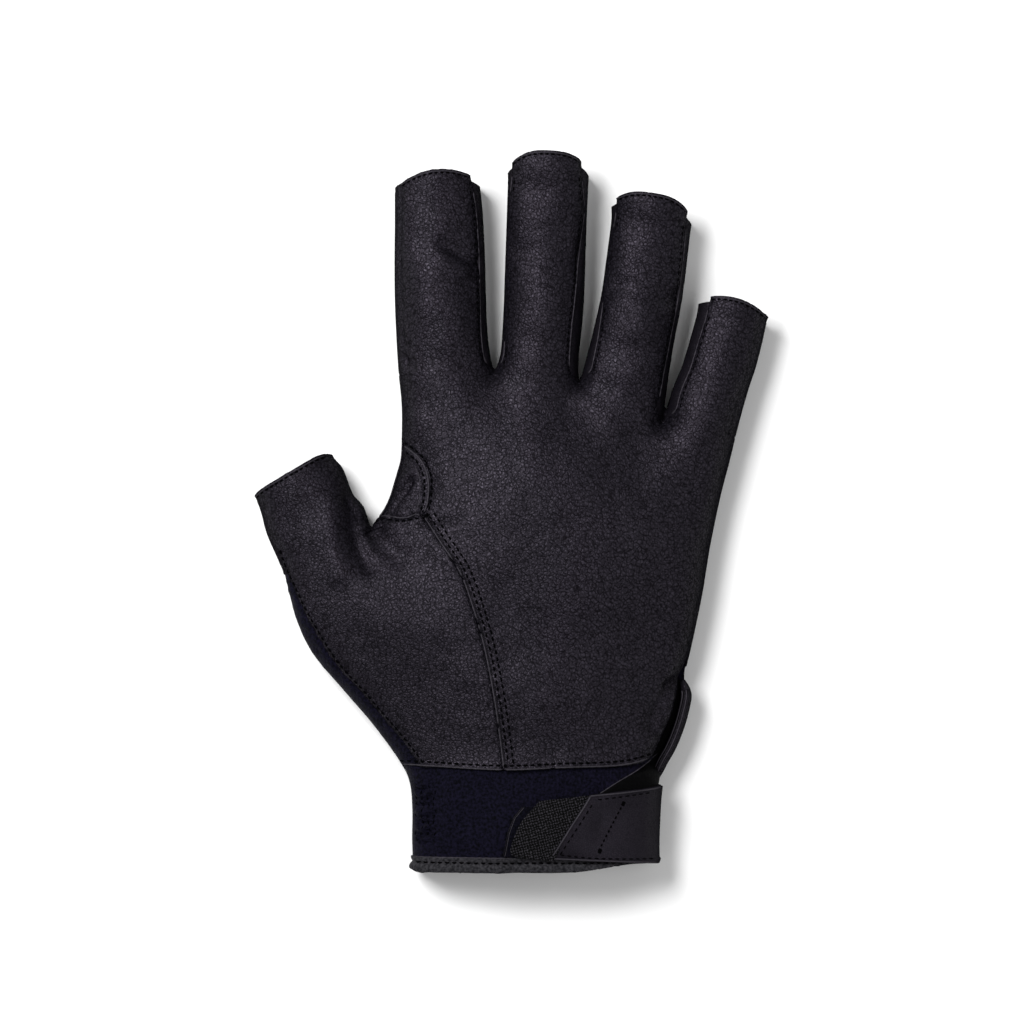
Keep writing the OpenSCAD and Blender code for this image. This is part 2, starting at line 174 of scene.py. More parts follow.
def inside(xy, path):
    """Whether each point is inside a closed path."""
    a, b = path, np.roll(path, -1, 0)
    out = np.zeros(len(xy), bool)
    for lo in range(0, len(xy), 6000):
        x, y = xy[lo:lo + 6000, 0, None], xy[lo:lo + 6000, 1, None]
        hit = (a[:, 1] > y) != (b[:, 1] > y)
        with np.errstate(divide="ignore", invalid="ignore"):
            at = a[:, 0] + (y - a[:, 1]) * (b[:, 0] - a[:, 0]) / (b[:, 1] - a[:, 1])
        out[lo:lo + 6000] = (hit & (x < at)).sum(1) % 2 == 1
    return out


def ease(f):
    f = np.clip(f, 0, 1)
    return f * f * (3 - 2 * f)


def blur(grid, sigma):
    reach = int(3 * sigma) + 1
    k = np.exp(-0.5 * (np.arange(-reach, reach + 1) / sigma) ** 2)
    k /= k.sum()
    for axis in (0, 1):
        pad = [(reach, reach) if i == axis else (0, 0) for i in (0, 1)]
        wide = np.pad(grid, pad, mode="edge")
        grid = sum(w * np.take(wide, range(i, i + grid.shape[axis]), axis) for i, w in enumerate(k))
    return grid


class Plan:
    """Maps over the glove's plan: distance in from its edge, fullness and front rise."""

    def __init__(self, step=0.7):
        self.step = step
        self.low = np.array([-86.0, -126.0])
        count = ((np.array([86.0, 124.0]) - self.low) / step).astype(int)
        gx, gy = np.meshgrid(*(self.low[i] + step * np.arange(count[i]) for i in (0, 1)), indexing="ij")
        xy = np.stack([gx.ravel(), gy.ravel()], 1)
        path = smooth_path(OUTLINE, 1.6, closed=True)
        d = to_path(xy, path, closed=True)[0] * np.where(inside(xy, path), 1, -1)
        self.edge = d.reshape(count)
        full = np.where(self.edge < 0, ROUND_FRONT * self.edge / EDGE_REACH,
                        1 - (1 - np.clip(self.edge / EDGE_REACH, 0, 1)) ** ROUND_FRONT)
        soft = ease((self.edge - 3.5) / 3)
        self.full = full * (1 - soft) + blur(full, 1.6 / step) * soft
        dome = 1 - (1 - np.clip((self.edge - 9) / 34, 0, 1)) ** 2
        self.rise = DIGIT_RISE + PALM_RISE * blur(dome, 4 / step)

    def at(self, grid, xy):
        f = (xy - self.low) / self.step
        i = np.clip(np.floor(f).astype(int), 0, np.array(grid.shape) - 2)
        t = f - i
        g = grid[i[:, 0], i[:, 1]] * (1 - t[:, 0]) + grid[i[:, 0] + 1, i[:, 1]] * t[:, 0]
        h = grid[i[:, 0], i[:, 1] + 1] * (1 - t[:, 0]) + grid[i[:, 0] + 1, i[:, 1] + 1] * t[:, 0]
        return g * (1 - t[:, 1]) + h * t[:, 1]

    def depth(self, full, rise, z):
        """Above 0 inside the glove, 0 on its skin."""
        up = (np.clip(z - SEAM_Z, 0, None) / rise) ** ROUND_FRONT
        down = (np.clip(SEAM_Z - z, 0, None) / SEAM_Z) ** ROUND_BACK
        return full - up - down


plan = Plan()


def surface_net(g, low, step):
    """Quads on the zero level of a 3-D grid, one vertex in each cell that it crosses."""
    shape = np.array(g.shape) - 1
    keys, points, quads = [], [], []
    for axis in range(3):
        a = np.take(g, range(g.shape[axis] - 1), axis)
        b = np.take(g, range(1, g.shape[axis]), axis)
        at = np.argwhere((a > 0) != (b > 0))
        va, vb = a[tuple(at.T)], b[tuple(at.T)]
        p = at.astype(float)
        p[:, axis] += va / (va - vb)
        u, v = (axis + 1) % 3, (axis + 2) % 3
        ring = []
        for du, dv in ((0, 0), (1, 0), (1, 1), (0, 1)):
            cell = at.copy()
            cell[:, u] -= du
            cell[:, v] -= dv
            ring.append(cell)
        ok = np.all([((c >= 0) & (c < shape)).all(1) for c in ring], 0)
        ids = np.stack([np.ravel_multi_index(tuple(c[ok].T), tuple(shape)) for c in ring], 1)
        for k in range(4):
            keys.append(ids[:, k])
            points.append(p[ok])
        quads.append(np.where((va[ok] > 0)[:, None], ids, ids[:, ::-1]))
    keys, points, quads = np.concatenate(keys), np.concatenate(points), np.concatenate(quads)
    used, back = np.unique(keys, return_inverse=True)
    total = np.zeros((len(used), 3))
    np.add.at(total, back, points)
    total /= np.bincount(back)[:, None]
    return low + step * total, np.searchsorted(used, quads)


def tri_normals(v, t):
    n = np.cross(v[t[:, 1]] - v[t[:, 0]], v[t[:, 2]] - v[t[:, 0]])
    out = np.zeros_like(v)
    for k in range(3):
        np.add.at(out, t[:, k], n)
    return out / (np.linalg.norm(out, axis=1)[:, None] + 1e-12)


def body_mesh():
    """The glove's whole skin as triangles, with open ends running past the cuts."""
    low = np.array([-84.0, -110.0, -1.5])
    high = np.array([84.0, 112.0, 27.5])
    count = ((high - low) / CELL).astype(int) + 1
    axes = [low[i] + CELL * np.arange(count[i]) for i in range(3)]
    gx, gy = np.meshgrid(axes[0], axes[1], indexing="ij")
    xy = np.stack([gx.ravel(), gy.ravel()], 1)
    full = plan.at(plan.full, xy).reshape(gx.shape)[..., None]
    rise = plan.at(plan.rise, xy).reshape(gx.shape)[..., None]
    g = plan.depth(full, rise, axes[2][None, None, :])
    v, q = surface_net(g, low, CELL)
    for _ in range(2):
        v = relax(v, q)
        v = onto_skin(v)
    return v, np.concatenate([q[:, [0, 1, 2]], q[:, [0, 2, 3]]])


def relax(v, q):
    total, n = np.zeros_like(v), np.zeros(len(v))
    for k in range(4):
        for j in (q[:, (k + 1) % 4], q[:, k - 1]):
            np.add.at(total, q[:, k], v[j])
            np.add.at(n, q[:, k], 1)
    return 0.5 * v + 0.5 * total / np.maximum(n, 1)[:, None]


def skin_depth(v):
    return plan.depth(plan.at(plan.full, v[:, :2]), plan.at(plan.rise, v[:, :2]), v[:, 2])


def onto_skin(v):
    h = 0.3
    g = skin_depth(v)
    grad = np.stack([(skin_depth(v + h * e) - skin_depth(v - h * e)) / (2 * h) for e in np.eye(3)], 1)
    move = g[:, None] * grad / ((grad ** 2).sum(1)[:, None] + 1e-4)
    size = np.linalg.norm(move, axis=1)[:, None]
    return v - move * np.minimum(1, 0.5 * CELL / (size + 1e-9))


# ---------- digits ----------

class Digit:
    """A digit's own axes, from its joint in the frame: s runs along it from its hinge, q across it."""

    def __init__(self, name):
        joint = next(j for j in frame["joints"] if j["child"] == name)
        axis = Vector(joint["axis"]).normalized()
        self.name = name
        self.hinge = np.array(joint["pos_m"][:2]) / MM
        self.across = np.array([axis.x, axis.y])
        self.out = np.array([-axis.y, axis.x])
        self.half, self.length, self.crown, self.power, self.slope = DIGITS[name]

    def sq(self, xy):
        p = xy - self.hinge
        return p @ self.out, p @ self.across

    def rim(self, q):
        across = np.minimum(np.abs(q) / self.half, 1.2)
        return self.length + self.slope * q - self.crown * across ** self.power

    def past_rim(self, xy):
        s, q = self.sq(xy)
        return s - self.rim(q)

    def xy(self, s, q):
        return self.hinge + np.multiply.outer(s, self.out) + np.multiply.outer(q, self.across)


digits = {name: Digit(name) for name in DIGITS}


def digit_of(xy):
    """Index of the digit that each point is in, or -1 in the hand."""
    best, found = np.full(len(xy), 1.35), np.full(len(xy), -1)
    for k, d in enumerate(digits.values()):
        s, q = d.sq(xy)
        near = np.where(s > 0, np.abs(q) / d.half, FAR)
        hit = near < best
        best[hit], found[hit] = near[hit], k
    return found


# ---------- cutting the skin into panels ----------

def cut(v, t, level, where, snap=0.12):
    """Splits the triangles that cross level(v) = 0, where where(centre) holds."""
    val = level(v)
    val[np.abs(val) < snap] = 0
    sign = np.sign(val)[t]
    crossed = (sign.min(1) < 0) & (sign.max(1) > 0) & where(v[t].mean(1))
    keep, m, s = t[~crossed], t[crossed], sign[crossed]
    touches = (s == 0).any(1)

    def turned(tri, k):
        r = np.arange(len(tri))
        return np.stack([tri[r, (k + i) % 3] for i in range(3)], 1)

    a = turned(m[touches], (s[touches] == 0).argmax(1))
    sb = s[~touches]
    b = turned(m[~touches], (sb == -np.sign(sb.sum(1))[:, None]).argmax(1))
    edges = np.sort(np.concatenate([a[:, [1, 2]], b[:, [0, 1]], b[:, [0, 2]]]), 1)
    ends, back = np.unique(edges, axis=0, return_inverse=True)
    back = back.ravel()
    f = (val[ends[:, 0]] / (val[ends[:, 0]] - val[ends[:, 1]]))[:, None]
    new = v[ends[:, 0]] * (1 - f) + v[ends[:, 1]] * f
    ids = len(v) + back
    p, q, r = ids[:len(a)], ids[len(a):len(a) + len(b)], ids[len(a) + len(b):]
    parts = [keep, np.stack([a[:, 0], a[:, 1], p], 1), np.stack([a[:, 0], p, a[:, 2]], 1),
             np.stack([b[:, 0], q, r], 1), np.stack([q, b[:, 1], b[:, 2]], 1),
             np.stack([q, b[:, 2], r], 1)]
    return np.concatenate([v, new]), np.concatenate(parts).astype(int)


EDGE_PATH = smooth_path(OUTLINE, 1.0, closed=True)
PATHS = {name: smooth_path(points, 1.5) for name, points in {
    "thenar": THENAR_SEAM, "arc": GUSSET_ARC, "foot": GUSSET_FOOT, "navy": NAVY_SEAM, "slit": SLIT_CUT,
    "hem": PALM_HEM, "lap": LAP_EDGE}.items()}
# The box in plan, as x0, y0, x1, y1, where each seam cuts the skin.
SEAM_BOXES = {"thenar": (-32, -78, 8, 2), "arc": (-34, -4, -20, 24), "foot": (-44, -9, -22, 2),
              "navy": (-72, -78, -24, -14), "slit": (36, -76, 55, -46), "hem": (-40, -79, 50, -69),
              "lap": (24, -83, 44, -70)}


def signed(name):
    """Signed distance to a named seam, + on its left."""
    def level(v):
        d, _, side = to_path(v[:, :2], PATHS[name])
        return d * side
    return level


def in_box(x0, y0, x1, y1, front=True):
    def where(c):
        hit = (c[:, 0] > x0) & (c[:, 0] < x1) & (c[:, 1] > y0) & (c[:, 1] < y1)
        return hit & (c[:, 2] > SEAM_Z - 1.5) if front else hit
    return where


def edge_in(v):
    return plan.at(plan.edge, v[:, :2])


def crotch_gap(c):
    return np.min([np.hypot(c[:, 0] - x, c[:, 1] - y) for x, y in CROTCHES], 0)


def near_crotch(c, reach):
    return crotch_gap(c) < reach


def strip_width(xy):
    """Width of the fourchette that shows beside each point; it narrows round each crotch."""
    width = np.full(len(xy), 1.6)
    which = digit_of(xy)
    for k, d in enumerate(digits.values()):
        s, q = d.sq(xy)
        for side, table in STRIPS[d.name].items():
            mine = (which == k) & (np.sign(q) == side)
            width[mine] = np.interp(s[mine] / d.length, np.linspace(0, 1, len(table)), table)
    return 0.6 + (width - 0.6) * ease((crotch_gap(xy) - 0.5) / 4.5)


def seam_in(v):
    """Distance in from the seam between a finger's front and its fourchette."""
    return edge_in(v) - strip_width(v[:, :2])


def cuff_end(x):
    """The cuff's lower edge: rounded at the thumb side, rising to the little-finger side."""
    return CUFF_END + 0.7 * (1 - ease((x + 29.4) / 1.4)) + 2.5 * ease((x - 15) / 22)


def in_fingers(c):
    k = digit_of(c[:, :2])
    return ((k >= 0) & (k < 4)) | near_crotch(c, WEB_REACH)


def cut_panels(v, t):
    v, t = cut(v, t, lambda p: p[:, 2] - SEAM_Z, lambda c: c[:, 2] > 0)
    v, t = cut(v, t, seam_in, in_fingers)
    for k, d in enumerate(digits.values()):
        v, t = cut(v, t, lambda p: d.sq(p[:, :2])[0],
                   lambda c: (np.abs(d.sq(c[:, :2])[0]) < 3) & (np.abs(d.sq(c[:, :2])[1]) < 1.25 * d.half))
        for drop in (0, BACK_SHORT):
            v, t = cut(v, t, lambda p: d.past_rim(p[:, :2]) + drop,
                       lambda c: (digit_of(c[:, :2]) == k) & (d.sq(c[:, :2])[0] > 0.6 * d.length))
    for name, box in SEAM_BOXES.items():
        v, t = cut(v, t, signed(name), in_box(*box))
    for y in (WRIST_Y, BINDING_TOP):
        v, t = cut(v, t, lambda p: p[:, 1] - y, in_box(-40, y - 3, 60, y + 3, front=False))
    v, t = cut(v, t, lambda p: p[:, 1] - cuff_end(p[:, 0]), in_box(-40, -108, 60, -98, front=False))
    return v, t


def panel_names(c):
    """The panel that each triangle centre is in; an empty name is cut away."""
    name = np.full(len(c), "palm_back", dtype=object)
    name_hand(c, name)
    name_digits(c, name)
    return name


def name_hand(c, name):
    x, y, z = c.T
    front = z > SEAM_Z
    name[front] = "palm_panel"
    left_of = {k: signed(k)(c) > 0 for k in PATHS}
    thenar = front & ~left_of["thenar"] & (y < 0) & (x < 2)
    name[thenar] = "thenar_panel"
    foot = ((y > -9) & (x > -48) & (x < -25.4) & left_of["foot"]) | (y > 0)
    name[front & (x < -22) & (y < 21) & foot & ~left_of["arc"]] = "thumb_gusset"
    name[front & (x < -20) & (y < -11) & ~left_of["navy"]] = "thumb_side_wrap"
    name[front & (x > 38) & (y < -48) & (y > -76) & left_of["slit"]] = "slit_underlap"
    name[near_crotch(c, WEB_REACH) & (seam_in(c) <= 0)] = "finger_webs"
    below = y < WRIST_Y
    hem_below = front & (y < -70) & ~left_of["hem"] & (x < 41)
    name[(below & ~(front & (x < 41))) | hem_below] = "cuff"
    cuff = name == "cuff"
    name[cuff & front] = "cuff_front"
    name[cuff & ~front] = "cuff_back"
    name[cuff & front & (x > 25.6) & (y > -83) & ~left_of["lap"]] = "slit_underlap"
    name[(y < BINDING_TOP) & front] = "cuff_binding_front"
    name[(y < BINDING_TOP) & ~front] = "cuff_binding_back"
    name[y < cuff_end(x)] = ""


def name_digits(c, name):
    front = c[:, 2] > SEAM_Z
    outer = seam_in(c) <= 0
    which = digit_of(c[:, :2])
    for k, d in enumerate(digits.values()):
        s, q = d.sq(c[:, :2])
        mine = which == k
        strip_side = np.where(np.isin(np.sign(q), list(STRIPS[d.name])) & outer, np.sign(q), 0)
        name[mine & front] = d.name + "_front"
        name[mine & ~front] = d.name + "_back"
        one = len(STRIPS[d.name]) == 1
        for side, word in ((-1, "_left"), (1, "_right")):
            name[mine & (strip_side == side)] = d.name + "_fourchette" + ("" if one else word)
        short = np.where(front & (strip_side == 0), 0, BACK_SHORT)
        name[mine & (s > d.rim(q) - short)] = ""


# ---------- relief: wrinkles, seams and hems in the skin ----------

def waves(p, size, seed, count=22):
    """A smooth random field about 1 high, with bumps about size across."""
    r = np.random.default_rng(seed)
    total = np.zeros(len(p))
    for _ in range(count):
        angle, k = r.uniform(0, 2 * math.pi), r.uniform(0.6, 1.5) * 2 * math.pi / size
        total += np.cos(k * (p[:, 0] * math.cos(angle) + p[:, 1] * math.sin(angle)) + r.uniform(0, 6.28))
    return total / math.sqrt(count / 2)


def folds(p, size, seed, sharp=0.35):
    """Thin creases that wander, 0 to 1 deep."""
    warp = np.stack([waves(p, size * 1.7, seed + 1), waves(p, size * 1.7, seed + 2)], 1) * size * 0.16
    return np.exp(-(waves(p + warp, size, seed) / sharp) ** 2)


# Folds and swells in the front: path, height (below 0 is a valley) and half width.
FOLDS = [
    # the thumb's root
    ([(-46.6, 4), (-45.4, -5), (-44, -11), (-41.4, -16)], -1.3, 2.4),
    ([(-52.5, 1), (-52.2, -8), (-50, -18)], 1.2, 3.4),
    ([(-43, -4.5), (-42.4, -8), (-41.4, -11)], 0.7, 1.3),
    ([(-39.4, -6), (-37, -9.5), (-33, -13)], -1.1, 3.0),
    # the gusset and the palm beside it
    ([(-30.2, 9), (-32.2, 5.6), (-34.4, 2.4), (-36.4, -0.6)], -1.7, 1.1),
    ([(-31.6, 9.9), (-33.4, 7.6), (-34.9, 5.9)], 0.7, 0.45),
    ([(-31.7, 4.6), (-33.6, 2.2), (-35.6, -0.6)], 0.7, 0.5),
    ([(-27.5, 27), (-21, 18), (-18.4, 9), (-19, 1)], 0.7, 3.4),
    # beside the slit
    ([(48.4, -49.8), (46.4, -50.6)], -2.2, 1.5),
    ([(45.5, -54), (42.5, -57.5), (41, -62)], -1.3, 2.6),
    ([(48.5, -54), (45, -55.4)], 0.7, 1.4),
    # the fingers and the palm
    ([(-20, 78), (-16, 75.5), (-10.5, 72.5)], -1.2, 1.9),
    ([(-20, 73.5), (-14, 70.5)], 0.5, 2.4),
    ([(31, 66), (38, 63.5), (49, 62)], -1.0, 3.0),
    ([(22, 73), (12, 74), (2, 76)], -0.8, 3.4),
    ([(21, 33), (26, 29), (30, 22)], 0.6, 3.4),
    ([(-30, 48), (-24, 44), (-16, 45)], -0.5, 3.4),
    ([(-33.5, 45.5), (-29.5, 42.5)], -1.0, 1.4),
    ([(35, -50), (20, -54), (6, -52)], 0.4, 6.0),
]


def bell(d, width):
    return np.exp(-(d / width) ** 2)


def relief(v):
    xy, z = v[:, :2], v[:, 2]
    edge = edge_in(v)
    front = ease((z - SEAM_Z + 1) / 3)
    out = (0.45 * waves(xy, 42, 11) + 0.07 * waves(xy, 13, 12)) * ease(edge / 9)
    hand = np.ones(len(v))
    which = digit_of(xy)
    for k, d in enumerate(digits.values()):
        s, q = d.sq(xy)
        mine = ease((s + 4) / 8) * (np.abs(q) < 1.35 * d.half) * ((which == k) | (s < 0))
        hand *= 1 - mine
        local = np.stack([s / 9, q / 17], 1)
        bend = 0.16 * waves(local, 1.7, 20 + k) - 0.12 * folds(local, 2.2, 30 + k)
        fade = 1 - 0.65 * ease((s - d.length + 10) / 8)
        out += mine * fade * bend * ease(edge / 8)
        out -= mine * front * 0.15 * bell(d.rim(q) - s - 1.0, 0.6)
    on_cuff = ease((-73.5 - xy[:, 1]) / 3)
    palm = hand * (1 - on_cuff)
    out -= palm * 0.12 * folds(xy, 24, 41, 0.3) * ease(edge / 8)
    out += on_cuff * 0.18 * waves(xy * [1, 0.35], 11, 43)
    seam = seam_in(v)
    strip = in_fingers(v) * (1 - on_cuff) * (strip_width(xy) > 0.7)
    pucker = waves(xy, 3.1, 51)
    out += front * strip * (0.07 * pucker * bell(seam, 3) - 0.35 * bell(seam, 0.6))
    for points, height, width in FOLDS:
        d = to_path(xy, smooth_path(points, 1.5))[0]
        out += front * height * bell(d, width) * ease(edge / 2)
    for name, depth, reach in (("thenar", 0.55, 5), ("arc", 0.5, 3.5), ("foot", 0.5, 3), ("navy", 0.4, 4)):
        d = to_path(xy, PATHS[name])[0]
        out += front * (0.1 * pucker * bell(d, reach) - depth * bell(d, 0.6))
    return out


# ---------- turning panels into thick pieces ----------

def rim_loop(t):
    """Directed edges that only one triangle has."""
    e = np.concatenate([t[:, [0, 1]], t[:, [1, 2]], t[:, [2, 0]]])
    key = np.sort(e, 1)
    _, first, count = np.unique(key, axis=0, return_index=True, return_counts=True)
    return e[first[count == 1]]


def add_object(name, v, faces, material, normals=None):
    mesh = bpy.data.meshes.new(name)
    mesh.from_pydata((v * MM).tolist(), [], faces)
    mesh.polygons.foreach_set("use_smooth", np.ones(len(mesh.polygons), bool))
    mesh.update()
    if normals is not None:
        loops = np.zeros(len(mesh.loops), np.int32)
        mesh.loops.foreach_get("vertex_index", loops)
        mesh.normals_split_custom_set(normals[loops].tolist())
    obj = bpy.data.objects.new(name, mesh)
    bpy.context.scene.collection.objects.link(obj)
    mesh.materials.append(material)
    return obj


def thick_piece(name, v, n, t, top, thick, material, keep_normals=None, bulge=0.15):
    """A panel from skin triangles: its face is top above the skin, and it has a rounded rim."""
    used, back = np.unique(t, return_inverse=True)
    t = back.reshape(-1, 3)
    top = np.broadcast_to(top, len(v))[used]
    v, n = v[used], n[used]
    outer = v + n * top[:, None]
    inner = outer - n * thick
    outer[:, 2] = np.maximum(outer[:, 2], 0)
    inner[:, 2] = np.maximum(inner[:, 2], 0.15)
    rim = rim_loop(t)
    side = np.zeros_like(v)
    away = np.cross(v[rim[:, 1]] - v[rim[:, 0]], n[rim[:, 0]])
    for k in (0, 1):
        np.add.at(side, rim[:, k], away)
    side /= np.linalg.norm(side, axis=1)[:, None] + 1e-9
    ids = np.unique(rim)
    ring = np.full(len(v), -1)
    ring[ids] = np.arange(len(ids))
    count = len(v)
    rows = [outer[ids] + bulge * side[ids] - n[ids] * thick * f for f in (0.2, 0.8)]
    for r in rows:
        r[:, 2] = np.maximum(r[:, 2], 0)
    points = np.concatenate([outer, inner] + rows)
    upper, lower = 2 * count + ring[rim], 2 * count + len(ids) + ring[rim]
    levels = [ends.T for ends in (rim, upper, lower, count + rim)]
    walls = []
    for (a0, b0), (a1, b1) in zip(levels, levels[1:]):
        walls += [np.stack([b0, a0, a1], 1), np.stack([b0, a1, b1], 1)]
    faces = np.concatenate([t, t[:, ::-1] + count] + walls)
    normals = None
    if keep_normals is not None:
        normals = np.zeros_like(points)
        normals[:count] = keep_normals[used]
    return add_object(name, points, faces.tolist(), material, normals)


# ---------- materials ----------

class Look:
    """A Principled material and short calls that build its node tree."""

    def __init__(self, name, color, rough, specular=0.4, sheen=0.0):
        self.mat = bpy.data.materials.new(name)
        self.mat.use_nodes = True
        self.nodes, self.links = self.mat.node_tree.nodes, self.mat.node_tree.links
        self.shader = self.nodes["Principled BSDF"]
        self.shader.inputs["Base Color"].default_value = (*color, 1)
        self.shader.inputs["Roughness"].default_value = rough
        self.shader.inputs["Specular IOR Level"].default_value = specular
        self.shader.inputs["Sheen Weight"].default_value = sheen
        self.shader.inputs["Sheen Roughness"].default_value = 0.5
        self.mat.diffuse_color = (*color, 1)
        self.place = self.add("ShaderNodeTexCoord").outputs["Object"]

    def add(self, kind, inputs=(), **settings):
        node = self.nodes.new(kind)
        for key, value in settings.items():
            setattr(node, key, value)
        for key, value in dict(inputs).items():
            if hasattr(value, "is_output"):
                self.links.new(value, node.inputs[key])
            else:
                node.inputs[key].default_value = value
        return node

    def noise(self, scale, detail):
        return self.add("ShaderNodeTexNoise", {"Vector": self.place, "Scale": scale,
                                               "Detail": detail}).outputs["Fac"]

    def bent(self, scale, amount):
        """Coordinates pushed about by a soft noise."""
        push = self.add("ShaderNodeTexNoise", {"Vector": self.place, "Scale": scale, "Detail": 1.0})
        centred = self.add("ShaderNodeVectorMath", {0: push.outputs["Color"], 1: (0.5, 0.5, 0.5)},
                           operation="SUBTRACT")
        sized = self.add("ShaderNodeVectorMath", {0: centred.outputs[0], "Scale": amount}, operation="SCALE")
        return self.add("ShaderNodeVectorMath", {0: self.place, 1: sized.outputs[0]}).outputs[0]

    def cells(self, scale, vector, width):
        """1 on the tops of pebbles about 1/scale across, 0 in the cracks between them."""
        edge = self.add("ShaderNodeTexVoronoi", {"Vector": vector, "Scale": scale},
                        feature="DISTANCE_TO_EDGE").outputs["Distance"]
        return self.add("ShaderNodeMapRange", {"Value": edge, "From Min": 0.0, "From Max": width},
                        interpolation_type="SMOOTHSTEP").outputs["Result"]

    def math(self, operation, a, b=0.0, c=0.0):
        return self.add("ShaderNodeMath", {0: a, 1: b, 2: c}, operation=operation).outputs[0]

    def total(self, *heights):
        """The sum of (height, weight) pairs."""
        out = 0.0
        for height, weight in heights:
            out = self.math("MULTIPLY_ADD", height, weight, out)
        return out

    def ripples(self, along, pitch):
        """A sine wave along one coordinate."""
        return self.math("SINE", self.math("MULTIPLY", along, 2 * math.pi / pitch))

    def tint(self, factor, dark, light):
        mix = self.add("ShaderNodeMix", {"Factor": factor, 6: (*dark, 1), 7: (*light, 1)}, data_type="RGBA")
        self.links.new(mix.outputs[2], self.shader.inputs["Base Color"])

    def shade_sides_and_cracks(self, rough, specular, height):
        """Rougher on the sides; the specular level is cut on the sides that turn from straight up and in the
        grain's cracks, which paints shade there.
        """
        up = self.add("ShaderNodeSeparateXYZ", {0: self.add("ShaderNodeTexCoord").outputs["Normal"]})
        face = self.add("ShaderNodeMapRange", {"Value": up.outputs["Z"], "From Min": 0.25, "From Max": 0.95},
                        interpolation_type="SMOOTHSTEP").outputs["Result"]
        dull = self.math("MULTIPLY", self.math("SUBTRACT", 1.0, face), 0.4)
        self.links.new(self.math("ADD", rough, dull), self.shader.inputs["Roughness"])
        # Painted shade: the specular falls to 8 per cent on the sides and to about a fifth in the cracks.
        shaded_specular = self.math("MULTIPLY_ADD", face, 0.92 * specular, 0.08 * specular)
        shaded_specular = self.math("MULTIPLY", shaded_specular, self.math("MULTIPLY_ADD", height, 0.95, 0.18))
        self.shader.inputs["Specular Tint"].default_value = (0.9, 0.8, 1.0, 1)
        self.links.new(shaded_specular, self.shader.inputs["Specular IOR Level"])

    def bump(self, height, depth):
        node = self.add("ShaderNodeBump", {"Height": height, "Distance": depth})
        self.links.new(node.outputs["Normal"], self.shader.inputs["Normal"])


def grained_leather():
    look = Look("grained_leather", (0.012, 0.0105, 0.0135), 0.5, 0.15)
    place = look.bent(1100, 0.0008)
    pebbles = look.cells(1080, place, 0.32)
    crackle = look.cells(600, place, 0.165)
    height = look.total((pebbles, 0.6), (crackle, 0.34), (look.noise(3200, 3), 0.2))
    look.tint(height, (0.0, 0.0, 0.0), (0.0072, 0.0064, 0.0095))
    # Painted shade on the leather's sides and in its cracks, through the specular level.
    look.shade_sides_and_cracks(look.math("MULTIPLY_ADD", height, -0.08, 0.52), 0.24, height)
    look.bump(height, 0.00011)
    return look.mat


def smooth_leather(name, light, depth):
    look = Look(name, light, 0.45, 0.15)
    pores = look.cells(1900, look.bent(700, 0.0008), 0.2)
    height = look.total((pores, 0.5), (look.noise(2600, 2), 0.5))
    look.tint(look.noise(160, 3), tuple(0.6 * c for c in light), tuple(1.3 * c for c in light))
    # Painted shade on the sides and in the pores, through the specular level.
    look.shade_sides_and_cracks(look.math("MULTIPLY_ADD", height, -0.15, 0.55), 0.2, height)
    look.bump(height, depth)
    return look.mat


def knit(name, dark, light, pitch, depth):
    """Fine knit ribs that run towards the fingertips."""
    look = Look(name, light, 0.85, 0.05, sheen=0.01)
    split = look.add("ShaderNodeSeparateXYZ", {0: look.bent(500, 0.0004)})
    ribs = look.ripples(split.outputs["X"], pitch)
    loops = look.ripples(split.outputs["Y"], 1.3 * pitch)
    height = look.total((ribs, 0.12), (loops, 0.08), (look.noise(1700, 3), 1))
    look.tint(look.math("MULTIPLY_ADD", look.noise(1300, 3), 3.2, -1.1), dark, light)
    look.bump(height, depth)
    return look.mat


def woven_tape(name, dark, light, pitch, depth):
    """Square weave, turned to follow a slanted tape."""
    look = Look(name, light, 0.7, 0.07)
    turned = look.add("ShaderNodeVectorRotate", {"Vector": look.bent(1100, 0.0009), "Angle": 0.52},
                      rotation_type="Z_AXIS")
    split = look.add("ShaderNodeSeparateXYZ", {0: turned.outputs[0]})
    across, along = (look.ripples(split.outputs[axis], pitch) for axis in "XY")
    weave = look.math("MULTIPLY", across, along)
    height = look.total((weave, 0.5), (look.noise(2200, 2), 1))
    look.tint(look.math("MULTIPLY_ADD", height, 2.6, -1.25), dark, light)
    look.bump(height, depth)
    return look.mat


def thread():
    look = Look("thread", (0.0005, 0.0005, 0.0007), 0.85, 0.02)
    look.bump(look.noise(5000, 2), 0.00005)
    return look.mat


